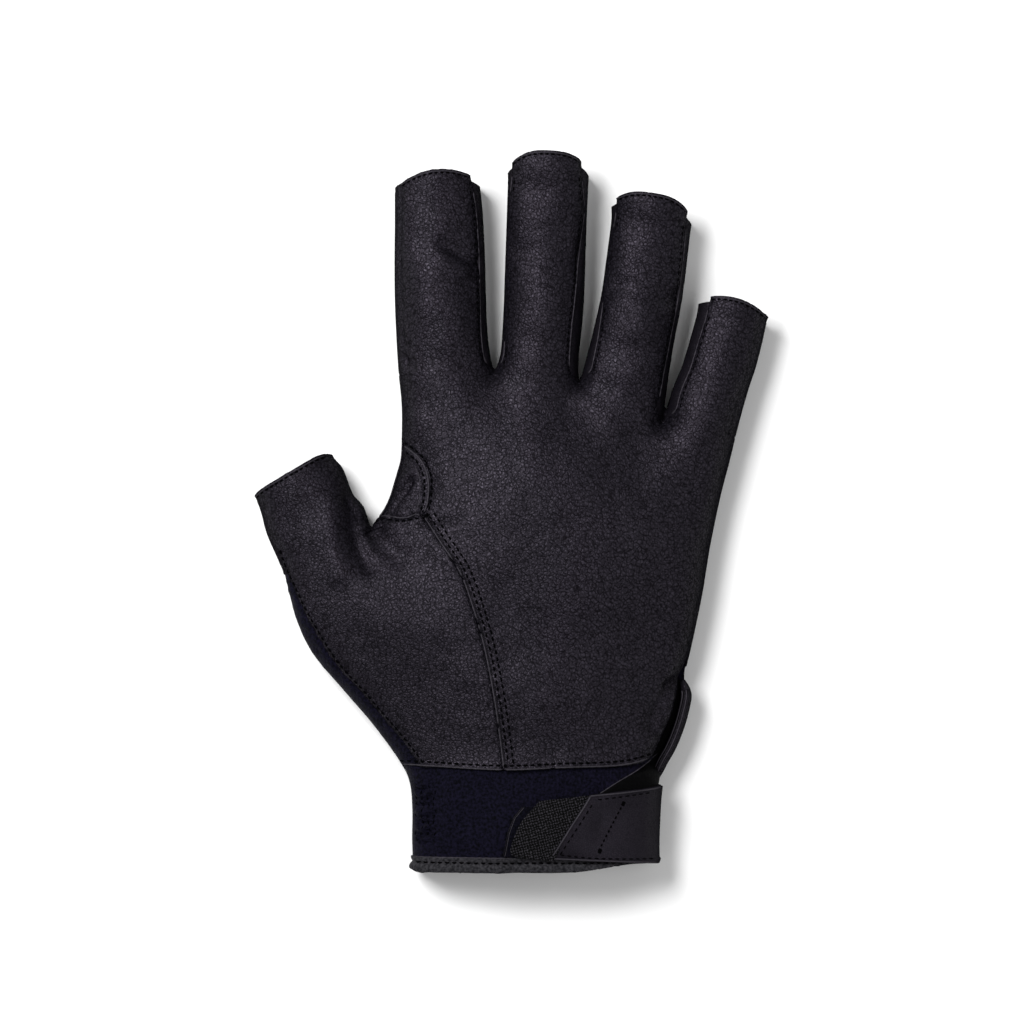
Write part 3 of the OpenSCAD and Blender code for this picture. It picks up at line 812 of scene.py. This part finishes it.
LOOKS = {
    "palm_leather": grained_leather(),
    "side_leather": smooth_leather("side_leather", (0.006, 0.0052, 0.0074), 0.00026),
    "strap_leather": smooth_leather("strap_leather", (0.006, 0.0052, 0.0075), 0.00005),
    "neoprene": knit("neoprene", (0.0002, 0.0002, 0.0012), (0.0042, 0.0036, 0.0108), 0.0011, 0.0002),
    "binding": knit("binding", (0.007, 0.007, 0.0085), (0.031, 0.03, 0.034), 0.0008, 0.00012),
    "hook_tape": woven_tape("hook_tape", (0.0, 0.0, 0.0), (0.026, 0.024, 0.029), 0.0011, 0.0003),
    "loop_tape": knit("loop_tape", (0.0002, 0.0002, 0.001), (0.0026, 0.0023, 0.0064), 0.0007, 0.0002),
    "elastic": knit("elastic", (0.01, 0.01, 0.012), (0.03, 0.03, 0.034), 0.001, 0.0002),
    "thread": thread(),
    # The rolled edges are about four times lighter than the glove's leather: a painted highlight along the
    # folded edges.
    "rolled_edge": smooth_leather("rolled_edge", (0.027, 0.025, 0.03), 0.00006),
    # Near black: a dark seam bead along the outline, and painted shadow in the gaps beside the thenar seam,
    # the loop patch and between the slit binding's ridges.
    "piping": smooth_leather("piping", (0.0014, 0.0014, 0.0018), 0.00006),
    # Near-black knit for the piece under the slit: painted shadow under the palm's edge there.
    "underlap": knit("underlap", (0.0001, 0.0001, 0.0002), (0.0008, 0.0007, 0.001), 0.0009, 0.0001),
}
# The piece under the slit takes the near-black look, a painted shadow, in place of its slot's leather.
SPECIAL_LOOKS = {"slit_underlap": "underlap", "finger_webs": "side_leather", "thumb_gusset": "palm_leather"}


# ---------- pieces ----------

def slot_of(node):
    return next(s["material_slot"] for s in frame["record"]["subparts"] if s["node"] == node)


def carry(obj, zone):
    """Fixes a piece to the hand or the strap; a digit's piece only has its placement baked into its mesh."""
    if zone in digits:
        d = digits[zone]
        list(d.xy(np.float64(BLEND_LENGTH), np.float64(0)) * MM)
        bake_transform(obj)
    else:
        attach(obj, zone)
    return obj


def finish_piece(obj, slot, zone, *nodes):
    carry(obj, zone)
    if nodes:
        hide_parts(*nodes)
    return obj


def lift_cuff(v):
    """The cuff's back lies on the strap's anchor, so it is raised by that much."""
    lift = 1.7 * ease((-73.5 - v[:, 1]) / 5)
    v[:, 2] = np.where(v[:, 2] < SEAM_Z, lift + v[:, 2] * (1 - lift / SEAM_Z), v[:, 2])
    return v


SHIRR_HEIGHT, SHIRR_PITCH = 1.1, 2.5


def beside(xy, seam, reach):
    """1 on a named seam, fading away from it."""
    return np.exp(-to_path(xy, PATHS[seam])[0] / reach)


def panel_top(name, v):
    """How far each panel's face stands above the skin: laps, hems and bindings."""
    xy = v[:, :2]
    top = np.zeros(len(v))
    if name == "palm_panel":
        top += 0.85 * beside(xy, "thenar", 5) + 0.45 * beside(xy, "arc", 3) - 2.2 * beside(xy, "slit", 2.6)
    if name in ("palm_panel", "thenar_panel"):
        top += beside(xy, "hem", 4)
    if name == "thenar_panel":
        top += 0.35 * beside(xy, "navy", 2) - 0.2
    if name == "thumb_gusset":
        top += 0.45 * bell(to_path(xy, PATHS["arc"])[0] - 1.5, 0.7) - 0.25
    if name.endswith("_front") and not name.startswith("cuff"):
        top += 0.3 * np.exp(-np.clip(seam_in(v), 0, None) / 1.2)
    if name == "slit_underlap":
        top += 0.45 - ease((xy[:, 1] + 77) / 5) * np.clip(v[:, 2] - SEAM_Z + 1.5, 0, 6)
    if name == "cuff_front":
        shirr = ease((-21 - xy[:, 0]) / 4) * ease((-77.5 - xy[:, 1]) / 3) * ease((xy[:, 1] + 98) / 3)
        shirr *= ease(edge_in(v) / 3)
        turns = (xy[:, 1] + 0.6 * waves(xy, 6, 61)) / SHIRR_PITCH
        top += shirr * (SHIRR_HEIGHT * np.sin(2 * math.pi * turns) - 0.3)
        top -= 0.5 * np.exp(-np.clip(-73.9 - xy[:, 1], 0, None) / 1.2)
    if name.startswith("cuff_binding"):
        down = BINDING_TOP - xy[:, 1]
        top += 0.5 - 0.5 * bell(down - 1.3, 0.35)
        top += 0.5 * np.sin(math.pi * np.clip((down - 1.7) / 2.6, 0, 1))
    return top


THICKNESS = {"cuff_front": NEOPRENE, "cuff_back": NEOPRENE, "palm_back": NEOPRENE,
             "cuff_binding_front": 3.2, "cuff_binding_back": 2.6}
ALSO = {"palm_panel": ["palm_hem"], **{n + "_front": [n + "_crease"] for n in digits}}


def smooth_tips(v, n, base):
    """Normals that leave out the relief near the digits' open ends, so that the rims run smoothly."""
    xy = v[:, :2]
    which = digit_of(xy)
    gap = np.min([np.abs(d.past_rim(xy)) + FAR * (which != k) for k, d in enumerate(digits.values())], 0)
    flat = ease((4 - gap) / 2)[:, None]
    return n * (1 - flat) + base * flat


def root_gap(xy):
    """Distance to the nearest line where a digit's piece meets the hand's."""
    gaps = []
    for d in digits.values():
        s, q = d.sq(xy)
        gaps.append(np.abs(s) + FAR * (np.abs(q) > 1.3 * d.half))
    return np.min(gaps, 0)


def zone_of(name):
    """The body that a panel goes with."""
    first = name.split("_")[0]
    return first if first in digits and name not in ("thumb_gusset", "thumb_side_wrap") else "palm"


def make_panels():
    """Builds every panel and returns the outer faces, for stitches to sit on."""
    v, t = body_mesh()
    v, t = cut_panels(v, t)
    names = panel_names(v[t].mean(1))
    base = tri_normals(v, t)
    v = lift_cuff(v + base * relief(v)[:, None])
    v[:, 2] = np.maximum(v[:, 2], 0)
    n = smooth_tips(v, tri_normals(v, t), base)
    kept = n * (root_gap(v[:, :2]) < 1.5)[:, None]
    outer_v, outer_t, total = [], [], 0
    for name in sorted(set(names) - {""}):
        mine = t[names == name]
        top = panel_top(name, v)
        slot = "side_leather" if name == "finger_webs" else slot_of(name)
        look = LOOKS[SPECIAL_LOOKS.get(name, slot)]
        obj = thick_piece(name + ".skin", v, n, mine, top, THICKNESS.get(name, LEATHER), look, kept)
        own = [] if name == "finger_webs" else [name]
        finish_piece(obj, slot, zone_of(name), *own, *ALSO.get(name, []))
        outer_v.append(v + n * top[:, None])
        outer_t.append(mine + total)
        total += len(v)
    make_hems(v, n, t, names)
    return np.concatenate(outer_v), np.concatenate(outer_t)


def make_hems(v, n, t, names):
    """The turned edge inside each digit's open end, and the elastic inside the cuff."""
    c = v[t].mean(1)
    for d in digits.values():
        mine = t[(names == d.name + "_front") & (d.past_rim(c[:, :2]) > -4)]
        obj = thick_piece(d.name + "_hem.skin", v, n, mine, -LEATHER - 0.05, 0.7, LOOKS["binding"])
        finish_piece(obj, "binding", d.name, d.name + "_hem")
    mine = t[(names == "cuff_front") & (c[:, 0] < -22.4) & (c[:, 1] > -95.7) & (c[:, 1] < -79.6)]
    obj = thick_piece("wrist_elastic.skin", v, n, mine, -NEOPRENE - 0.4, 1.0, LOOKS["elastic"])
    finish_piece(obj, "elastic", "palm", "wrist_elastic")


class Skin:
    """The finished outer surface, to lay stitches and straps on."""

    def __init__(self, v, t):
        self.tree = BVHTree.FromPolygons(v.tolist(), t.tolist())

    def down(self, x, y):
        """The top point and normal over a place in plan; both are None past the edge."""
        place, normal, _, _ = self.tree.ray_cast(Vector((x, y, 80)), Vector((0, 0, -1)))
        return place, normal

    def out(self, centre, angle):
        """The outer point and normal of the cuff at an angle round Y from +X."""
        way = Vector((math.cos(angle), 0, math.sin(angle)))
        place, normal, _, _ = self.tree.ray_cast(Vector(centre) + way * 80, -way)
        return place, normal


# ---------- stitches ----------

# The rolled edges wear the lighter leather, a painted highlight, on the palm leather's slot; the near-black
# tubes wear a dark look on the binding's slot.
TRIM_LOOKS = {"stitches": ("thread", "thread"), "edges": ("rolled_edge", "palm_leather"),
              "piping": ("piping", "binding")}


def unbroken(laid, jump=2.5, least=4):
    """Runs of surface points and normals without a gap or a drop through an opening."""
    runs = [[]]
    for pair in laid:
        if pair[0] is None or (runs[-1] and (pair[0] - runs[-1][-1][0]).length > jump):
            runs.append([])
        if pair[0] is not None:
            runs[-1].append(pair)
    return [run for run in runs if len(run) >= least]


def tube_faces(rings, sides):
    """Quads round a closed tube, and its two end caps."""
    faces = []
    for i in range(rings - 1):
        for k in range(sides):
            p, q = i * sides + k, i * sides + (k + 1) % sides
            faces.append((p, q, q + sides, p + sides))
    faces.append(tuple(range(sides))[::-1])
    faces.append(tuple((rings - 1) * sides + k for k in range(sides)))
    return faces


def body_at(xy):
    """The body that a stitch at a plan point goes with."""
    k = digit_of(np.array([xy]))[0]
    return list(digits)[k] if k >= 0 else "palm"


class Sewing:
    """Gathers stitches by the body that they go with, then makes one piece for each."""

    def __init__(self, skin):
        self.skin = skin
        self.bins = {}

    def tube(self, mids, ups, radii, bin_name):
        """A closed tube through the points."""
        sides, last = 6, len(mids) - 1
        points = []
        for i, (mid, up, r) in enumerate(zip(mids, ups, radii)):
            along = (mids[min(i + 1, last)] - mids[max(i - 1, 0)]).normalized()
            side = along.cross(up).normalized()
            for k in range(sides):
                w = 2 * math.pi * k / sides
                points.append(mid + side * (r * math.cos(w)) + up * (r * math.sin(w)))
        v, f = self.bins.setdefault(bin_name, ([], []))
        start = len(v)
        v.extend(tuple(p) for p in points)
        f.extend(tuple(start + k for k in face) for face in tube_faces(len(mids), sides))

    def stitch(self, a, b, up, width, zone):
        """One stitch from a to b, bowed up out of the surface, with its ends sunk in it."""
        at = [i / 4 for i in range(5)]
        bow = [math.sin(math.pi * f) for f in at]
        mids = [a.lerp(b, f) + up * (width * (1.3 * w - 0.55)) for f, w in zip(at, bow)]
        self.tube(mids, [up] * 5, [width * (0.45 + 0.55 * w) for w in bow], (zone, "stitches"))

    def edge(self, path, radius, kind="edges", zone=None, lay=None, lift=0.0):
        """A thin rolled edge along a plan path, in one tube for each body that it crosses; the rolled edges
        are lighter leather, a painted highlight, and the near-black tubes are dark seam beads and painted
        shadow.
        """
        lay = lay or self.skin.down
        path = np.array(path, float)
        whole = lengths(path)[-1]
        path = points_at(path, np.linspace(0, whole, int(whole / 0.55) + 2))
        k = digit_of(path)
        for run in np.split(np.arange(len(path)), np.where(np.diff(k) != 0)[0] + 1):
            run = range(run[0], min(run[-1] + 2, len(path)))
            where = zone or body_at(path[run[0]])
            for laid in unbroken([lay(*path[i]) for i in run]):
                self.rolled(laid, radius, kind, where, lift)

    def rolled(self, laid, radius, kind, where, lift):
        """One tube on surface points; a rolled edge, in lighter leather as a painted highlight, is beaded by
        its stitches, and a near-black tube is plain.
        """
        z = np.array([place.z for place, _ in laid])
        near = np.stack([z[np.clip(np.arange(len(z)) + k, 0, len(z) - 1)] for k in (-2, -1, 0, 1, 2)])
        z = np.median(near, 0)
        mids = [Vector((place.x, place.y, h)) + up * lift for (place, up), h in zip(laid, z)]
        ripple = 0.18 if kind == "edges" else 0
        swell = 0.88 + ripple * np.sin(2 * math.pi * 0.55 * np.arange(len(mids)) / 2.1)
        radii = [radius * (0.4 if i in (0, len(mids) - 1) else w) for i, w in enumerate(swell)]
        self.tube(mids, [up for _, up in laid], radii, (where, kind))

    def row(self, path, pitch=2.0, share=0.66, width=0.2, zone=None, lay=None):
        """A row of stitches along a plan path. lay(x, y) gives a surface point and normal."""
        lay = lay or self.skin.down
        path = np.array(path, float)
        at = np.arange(pitch * 0.5, lengths(path)[-1] - pitch * 0.4, pitch)
        half = pitch * share / 2
        for start, end in zip(points_at(path, at - half), points_at(path, at + half)):
            a, up = lay(*start)
            b, up2 = lay(*end)
            if a is None or b is None or (b - a).length > 2 * pitch or (b - a).length < 0.1:
                continue
            self.stitch(a, b, ((up + up2) / 2).normalized(), width, zone or body_at(start))

    def make(self):
        for (zone, kind), (v, f) in self.bins.items():
            look, slot = TRIM_LOOKS[kind]
            obj = add_object(zone + "_" + kind, np.array(v), f, LOOKS[look])
            finish_piece(obj, slot, zone)


def offset(path, d):
    """The path moved d to its left; d is one value, or one for each point."""
    t = np.gradient(path, axis=0)
    n = np.stack([-t[:, 1], t[:, 0]], 1) / (np.linalg.norm(t, axis=1)[:, None] + 1e-9)
    return path + np.broadcast_to(d, len(path))[:, None] * n


def runs_of(line, good):
    """The unbroken runs of good points on a line."""
    runs = np.split(np.arange(len(line)), np.where(np.diff(good.astype(int)) != 0)[0] + 1)
    return [line[r] for r in runs if good[r[0]] and len(r) > 4]


def outline_runs():
    """The parts of the glove's edge where the front meets the back in one seam, without a fourchette."""
    x, y = EDGE_PATH.T
    which = digit_of(EDGE_PATH)
    good = (which < 0) & ~near_crotch(EDGE_PATH, WEB_REACH) & (y > -46) & ((x > 0) | (y > -8))
    for k, d in enumerate(digits.values()):
        s, q = d.sq(EDGE_PATH)
        plain = ~np.isin(np.sign(q), list(STRIPS[d.name]))
        good |= (which == k) & plain & (s < d.rim(q) - 0.8)
    good &= (x > -30) | (y > -16)
    return runs_of(EDGE_PATH, good)


def strip_rows(inward):
    """Paths just inside the fourchette seams: down one finger, round the crotch and up the next."""
    line = offset(EDGE_PATH, -(strip_width(EDGE_PATH) + inward))
    ok = (np.abs(seam_in(line) - inward) < 0.35) & (strip_width(line) > 0.75) & (crotch_gap(line) > 2.6)
    keep = np.zeros(len(line), bool)
    k = digit_of(line)
    for i, d in enumerate(list(digits.values())[:4]):
        s, q = d.sq(line)
        keep |= (k == i) & np.isin(np.sign(q), list(STRIPS[d.name])) & (s < d.rim(q) - 4.2)
    keep |= near_crotch(line, WEB_REACH)
    return runs_of(line, ok & keep)


# Rows of stitches and rolled edges, by how far left of each seam's path they run.
# The rolled edges are lighter leather, painted highlights along the folded edges; the near-black tube by the
# thenar seam is painted shadow in its gap.
STITCH_ROWS = {"thenar": (1.5, 3.0), "arc": (0.4, -1.75), "navy": (0.9,), "hem": (1.2,), "foot": (-0.9,)}
SEAM_EDGES = [("thenar", 0.1, 0.3, "edges"), ("thenar", 0.6, 0.22, "piping"), ("arc", -0.65, 0.34, "edges"),
              ("foot", 0.1, 0.24, "edges"), ("hem", 0.1, 0.29, "edges"), ("lap", 0.1, 0.2, "edges")]
ELASTIC_ROWS_X = (-28.0, -26.2, -24.4, -22.6)


def sew_seams(sewing):
    for name, shifts in STITCH_ROWS.items():
        for shift in shifts:
            sewing.row(offset(PATHS[name], shift), share=0.74, width=0.31)
    for name, shift, radius, kind in SEAM_EDGES:
        sewing.edge(offset(PATHS[name], shift), radius, kind)
    # A rolled edge in lighter leather inside the gusset's arc: a painted highlight along its fold.
    inner_arc = offset(PATHS["arc"], -3.1)
    sewing.edge(inner_arc[inner_arc[:, 1] < 13.5], 0.16)
    for line in outline_runs():
        sewing.edge(line, 0.42, "piping", lay=lambda x, y: (Vector((x, y, SEAM_Z + 0.2)), UP))


def sew_digits(sewing):
    for line in strip_rows(0.95):
        sewing.row(line, pitch=1.9, width=0.21)
    # Rolled edges in lighter leather beside the fourchette seams: painted highlights on the folded edges.
    for line in strip_rows(0.12):
        sewing.edge(line, 0.26)
    for d in digits.values():
        q = np.linspace(-0.93 * d.half, 0.9 * d.half, 60)
        sewing.row(d.xy(d.rim(q) - 0.95, q), pitch=1.7, share=0.76, width=0.27)
        # A rolled edge in lighter leather just under each rim: a painted highlight along it.
        sewing.edge(d.xy(d.rim(q) - 0.5, q), 0.17, zone=d.name)


def sew_cuff(sewing):
    # A rolled edge in lighter leather along the binding's top: a painted highlight.
    sewing.edge([(x, BINDING_TOP + 0.1) for x in (-28.8, 14)], 0.24)
    sewing.row([(x, BINDING_TOP - 1.3) for x in (-28.3, 41)], pitch=2.1, share=0.72, width=0.3)
    for k, x in enumerate(ELASTIC_ROWS_X):
        y = np.linspace(-79, -96.5, 30)
        sewing.row(np.stack([x + 0.4 * np.sin(y * 1.1 + k), y], 1), pitch=1.8, width=0.16)


# ---------- the strap, its tapes and the slit's edge ----------

def grid_piece(name, grid, thick, material):
    """A thick piece from a grid of surface points, rows by columns, facing up."""
    rows, cols = grid.shape[:2]
    v = grid.reshape(-1, 3)
    i, j = np.meshgrid(np.arange(rows - 1), np.arange(cols - 1), indexing="ij")
    a = (i * cols + j).ravel()
    t = np.concatenate([np.stack([a, a + 1, a + cols + 1], 1), np.stack([a, a + cols + 1, a + cols], 1)])
    n = tri_normals(v, t)
    return thick_piece(name, v, n, t, 0.0, thick, material, bulge=0.3), (v, t)


def on_cuff(skin, plan_grid, off):
    """A grid of plan points laid off above the cuff and eased flat."""
    out = np.empty(plan_grid.shape[:2] + (3,))
    for i in range(out.shape[0]):
        for j in range(out.shape[1]):
            p, n = skin.down(*plan_grid[i, j])
            out[i, j] = p + Vector((n.x, n.y, max(n.z, 0.3))).normalized() * off
    z = out[..., 2]
    for _ in range(6):
        z[1:-1, 1:-1] = (z[:-2, 1:-1] + z[2:, 1:-1] + z[1:-1, :-2] + z[1:-1, 2:]) / 4
    return out


def soften(g):
    """Evens out a grid's rows in place."""
    for _ in range(12):
        g[1:-1] = 0.25 * g[:-2] + 0.5 * g[1:-1] + 0.25 * g[2:]


def wrap_row(skin, y, off, z_from, count, x_to=None):
    """Points round the cuff's little-finger side at one y: from z_from over to x_to, or else under."""
    centre = (24.0, y, SEAM_Z + 2)
    turns = np.radians(np.linspace(-100, 176, 160))
    line = []
    for w in turns:
        p, n = skin.out(centre, w)
        if p is not None:
            line.append([p.x + n.x * off, p.z + n.z * off])
    line = np.array(line)
    soften(line)
    step = lengths(line)
    right = line[:, 0] > centre[0]
    hinge = np.interp(z_from, line[right][:, 1], step[right])
    if x_to is None:
        s = np.linspace(0.2, hinge, count)
    else:
        over = (line[:, 0] < x_to) & (line[:, 1] > SEAM_Z)
        s = np.linspace(hinge, step[over][0], count)
    return np.stack([np.interp(s, step, line[:, 0]), np.full(count, y), np.interp(s, step, line[:, 1])], 1)


HOOK = {"low_left": (-1.0, -99.2), "top_left": (7.9, -84.0),
        "top_right": (23.1, -82.3), "low_right": (11.8, -100.4)}
STRAP_RIGHT_Y = (-102.2, -80.0)
STRAP_OFF, ANCHOR_OFF, HOOK_OFF, LOOP_OFF = 2.2, 1.5, 1.75, 0.55
LOOP_LEFT = np.array([(3.4, -85.4), (0.7, -88.6), (-1.0, -92.9), (-2.4, -99.8)])
BARTACKS = ((25.5, -98.3), (32.3, -84.6))


def between(a, b, f):
    return np.array(a) * (1 - f) + np.array(b) * f


def make_strap(skin, sewing):
    """The strap's leather over the cuff, and its anchor, which runs round the side and under."""
    hinge_z = next(j["pos_m"][2] for j in frame["joints"] if j["child"] == "strap") / MM
    strap, anchor = [], []
    for f in np.linspace(0, 1, 26):
        end = between(HOOK["low_right"], HOOK["top_right"], f)
        y_right = STRAP_RIGHT_Y[0] + f * (STRAP_RIGHT_Y[1] - STRAP_RIGHT_Y[0])
        y = end[1] * 0.35 + y_right * 0.65
        over = wrap_row(skin, y, STRAP_OFF, hinge_z, 44, end[0])
        over[:, 1] = np.linspace(y_right, end[1], 44)
        strap.append(over[::-1])
        under = wrap_row(skin, y, ANCHOR_OFF, hinge_z, 24)
        under[:, 1] = y_right
        anchor.append(under[::-1])
    strap, anchor = np.array(strap), np.array(anchor)
    for grid in (strap, anchor):
        grid[..., 0] -= 0.3 * ease((grid[..., 0] - 36) / 6)
    soften(strap[..., 0])
    soften(strap[..., 2])
    obj, face = grid_piece("strap_leather.skin", strap, 1.3, LOOKS["strap_leather"])
    finish_piece(obj, "strap_leather", "strap", "strap_leather")
    piece, _ = grid_piece("strap_anchor.skin", anchor, 1.2, LOOKS["strap_leather"])
    finish_piece(piece, "strap_leather", "palm", "strap_anchor", "strap_side")
    up = Vector((0, 0.05, 1)).normalized()
    # Rolled edges in lighter leather along the strap's sides and end: painted highlights.
    for line in (strap[-1, :-3], strap[0, :-3], strap[:, 0]):
        mids = [Vector(p) + 0.1 * UP for p in line]
        sewing.tube(mids, [up] * len(mids), [0.26] * len(mids), ("strap", "edges"))
    sew_strap(Skin(*face), sewing)


def make_hook_tape(skin):
    """The tape that shows past the strap's end, with its lower corner rounded."""
    f, g = np.meshgrid(np.linspace(0, 1, 26), np.linspace(0, 1, 26), indexing="ij")
    left = between(HOOK["low_left"], HOOK["top_left"], f[..., None])
    right = between(HOOK["low_right"], HOOK["top_right"], f[..., None]) - [0.2, 0]
    tape = between(left, right, g[..., None])
    tape[..., 0] -= 1.5 * np.sin(math.pi * f) * (1 - g) ** 2
    tape[0, :6, 1] += 0.9 * (1 - np.linspace(0, 1, 6)) ** 2
    tape[:4, 0, 0] += 0.9 * (1 - np.linspace(0, 1, 4)) ** 2
    hook, _ = grid_piece("hook_tape.skin", on_cuff(skin, tape, HOOK_OFF), 0.9, LOOKS["hook_tape"])
    finish_piece(hook, "hook_tape", "strap", "hook_tape")


def make_loop_patch(skin, sewing):
    y, g = np.meshgrid(np.linspace(-99.6, -85.6, 20), np.linspace(0, 24, 22), indexing="ij")
    left = np.interp(y, LOOP_LEFT[::-1, 1], LOOP_LEFT[::-1, 0])
    patch = on_cuff(skin, np.stack([left + g, y], 2), LOOP_OFF)
    loop, _ = grid_piece("loop_patch.skin", patch, 0.5, LOOKS["loop_tape"])
    finish_piece(loop, "loop_tape", "palm", "loop_patch")
    # A near-black tube left of the patch is painted shadow in the gap at its edge; the thin tube in lighter
    # leather beside it is a painted highlight.
    sewing.edge(offset(LOOP_LEFT, -0.2), 0.22, "piping", zone="palm", lift=0.4)
    sewing.edge(offset(LOOP_LEFT, 0.2), 0.12, zone="palm", lift=0.62)


def sew_strap(face, sewing):
    """The strap's rows of stitches, and its two bartacks as a piece of their own."""
    def rows(points, pitch=2.0, width=0.2):
        sewing.row(smooth_path(points, 1.0), pitch=pitch, width=width, zone="strap", lay=face.down)

    low, high = np.array(HOOK["low_right"]), np.array(HOOK["top_right"])
    rows([low + [1.9, 0.8], high + [1.2, -0.8]])
    rows([(24.9, -98.6), (32.3, -84.4)], pitch=1.5, width=0.26)
    rows([(13.6, -99.3), (24, -100.4), (41.5, -100.9)])
    rows([(24.5, -83.4), (34, -82.3), (41.5, -81.4)])
    tacks = Sewing(face)
    for x, y in BARTACKS:
        for k in range(-2, 3):
            a, n = face.down(x + 0.1 * k - 0.55, y + 0.24 * k + 0.25)
            b, _ = face.down(x + 0.1 * k + 0.55, y + 0.24 * k - 0.25)
            tacks.stitch(a, b, n, 0.18, "strap")
    v, f = tacks.bins["strap", "stitches"]
    obj = add_object("strap_bartacks.skin", np.array(v), f, LOOKS["thread"])
    finish_piece(obj, "thread", "strap", "strap_bartacks")


SLIT_EDGE = [(41.4, -78.6), (43.6, -73.4), (46.3, -68.6), (48.5, -63.3), (50.1, -57.8), (50.9, -53),
             (49.8, -49.2)]
SLIT_BINDING_Z = 9.2
# The binding's ridges: shift sideways, radius, height and kind. The lighter rolled edges and the near-black
# tubes between them paint highlights and shade in stripes.
SLIT_RIDGES = ((-1.15, 0.2, 1.4, "edges"), (-0.55, 0.3, 1.7, "piping"),
               (0.05, 0.2, 1.95, "edges"), (0.65, 0.3, 1.7, "piping"))


def make_slit_binding(sewing):
    """The bound edge of the back along the slit, with rolled ridges along it in painted highlight and
    painted shade.
    """
    path = smooth_path(SLIT_EDGE, 0.8)
    t = np.gradient(path, axis=0)
    t /= np.linalg.norm(t, axis=1)[:, None]
    side = np.stack([t[:, 1], -t[:, 0]], 1)
    sides = 20
    points = []
    for i, (p, s) in enumerate(zip(path, side)):
        end = math.sin(math.pi * min(1, min(i, len(path) - 1 - i) / 6) / 2)
        for k in range(sides):
            w = -2 * math.pi * k / sides
            r = (1.5 + 0.18 * math.cos(4 * w)) * (0.45 + 0.55 * end)
            x, z = r * math.cos(w), 1.25 * r * math.sin(w)
            points.append((p[0] + s[0] * x, p[1] + s[1] * x, SLIT_BINDING_Z + z))
    for shift, radius, high, kind in SLIT_RIDGES:
        line = path + side * shift
        mids = [Vector((*p, SLIT_BINDING_Z + high)) for p in line[4:-3]]
        sewing.tube(mids, [UP] * len(mids), [radius] * len(mids), ("palm", kind))
    faces = tube_faces(len(path), sides)
    obj = add_object("slit_binding.skin", np.array(points), faces, LOOKS["side_leather"])
    finish_piece(obj, "binding", "palm", "slit_binding")


def make_knot(skin, sewing):
    """The bartack where the gusset, the palm and the thumb panel meet."""
    for k in range(9):
        x, y = -25.0 + 0.28 * (k - 4), -0.9 - 0.16 * (k - 4)
        a, n = skin.down(x - 0.6, y - 1.0)
        b, _ = skin.down(x + 0.6, y + 1.0)
        sewing.stitch(a, b, n, 0.28, "palm")


# ---------- floor, light and camera ----------

# Metres.
VIEW_WIDTH, CAMERA_HEIGHT = 0.2987, 1.7


def area_light(name, place, size, power):
    data = bpy.data.lights.new(name, "AREA")
    data.shape = "RECTANGLE"
    data.size, data.size_y = size
    data.energy = power
    obj = bpy.data.objects.new(name, data)
    obj.location = place
    obj.rotation_euler = (-Vector(place)).to_track_quat("-Z", "Y").to_euler()
    bpy.context.scene.collection.objects.link(obj)


def make_floor():
    mesh = bpy.data.meshes.new("floor")
    half, low = 4.0, -0.0002
    corners = [(-half, -half, low), (half, -half, low), (half, half, low), (-half, half, low)]
    mesh.from_pydata(corners, [], [(0, 1, 2, 3)])
    floor = bpy.data.objects.new("floor", mesh)
    bpy.context.scene.collection.objects.link(floor)
    pale = bpy.data.materials.new("floor")
    pale.use_nodes = True
    shader = pale.node_tree.nodes["Principled BSDF"]
    shader.inputs["Base Color"].default_value = (0.93, 0.93, 0.93, 1)
    shader.inputs["Roughness"].default_value = 0.9
    shader.inputs["Specular IOR Level"].default_value = 0.1
    mesh.materials.append(pale)


def make_light():
    world = bpy.data.worlds.new("studio")
    world.use_nodes = True
    world.node_tree.nodes["Background"].inputs["Color"].default_value = (1, 1, 1, 1)
    world.node_tree.nodes["Background"].inputs["Strength"].default_value = 0.3
    bpy.context.scene.world = world
    area_light("key", (-0.43, 0.37, 0.82), (0.42, 0.42), 12.6)
    area_light("fill", (0.6, -0.2, 1.1), (0.9, 0.9), 4)
    bpy.context.scene.view_settings.view_transform = "Standard"


def make_camera():
    """A camera straight above that takes in VIEW_WIDTH at the glove's mid height."""
    data = bpy.data.cameras.new("camera")
    data.sensor_width = 36
    data.lens = 36 / (VIEW_WIDTH / (CAMERA_HEIGHT - 0.012))
    camera = bpy.data.objects.new("camera", data)
    camera.location = (0, 0, CAMERA_HEIGHT)
    bpy.context.scene.collection.objects.link(camera)
    bpy.context.scene.camera = camera


make_camera()
make_floor()
make_light()
glove = Skin(*make_panels())
seams = Sewing(glove)
sew_seams(seams)
sew_digits(seams)
sew_cuff(seams)
make_knot(glove, seams)
make_strap(glove, seams)
make_hook_tape(glove)
make_loop_patch(glove, seams)
make_slit_binding(seams)
seams.make()
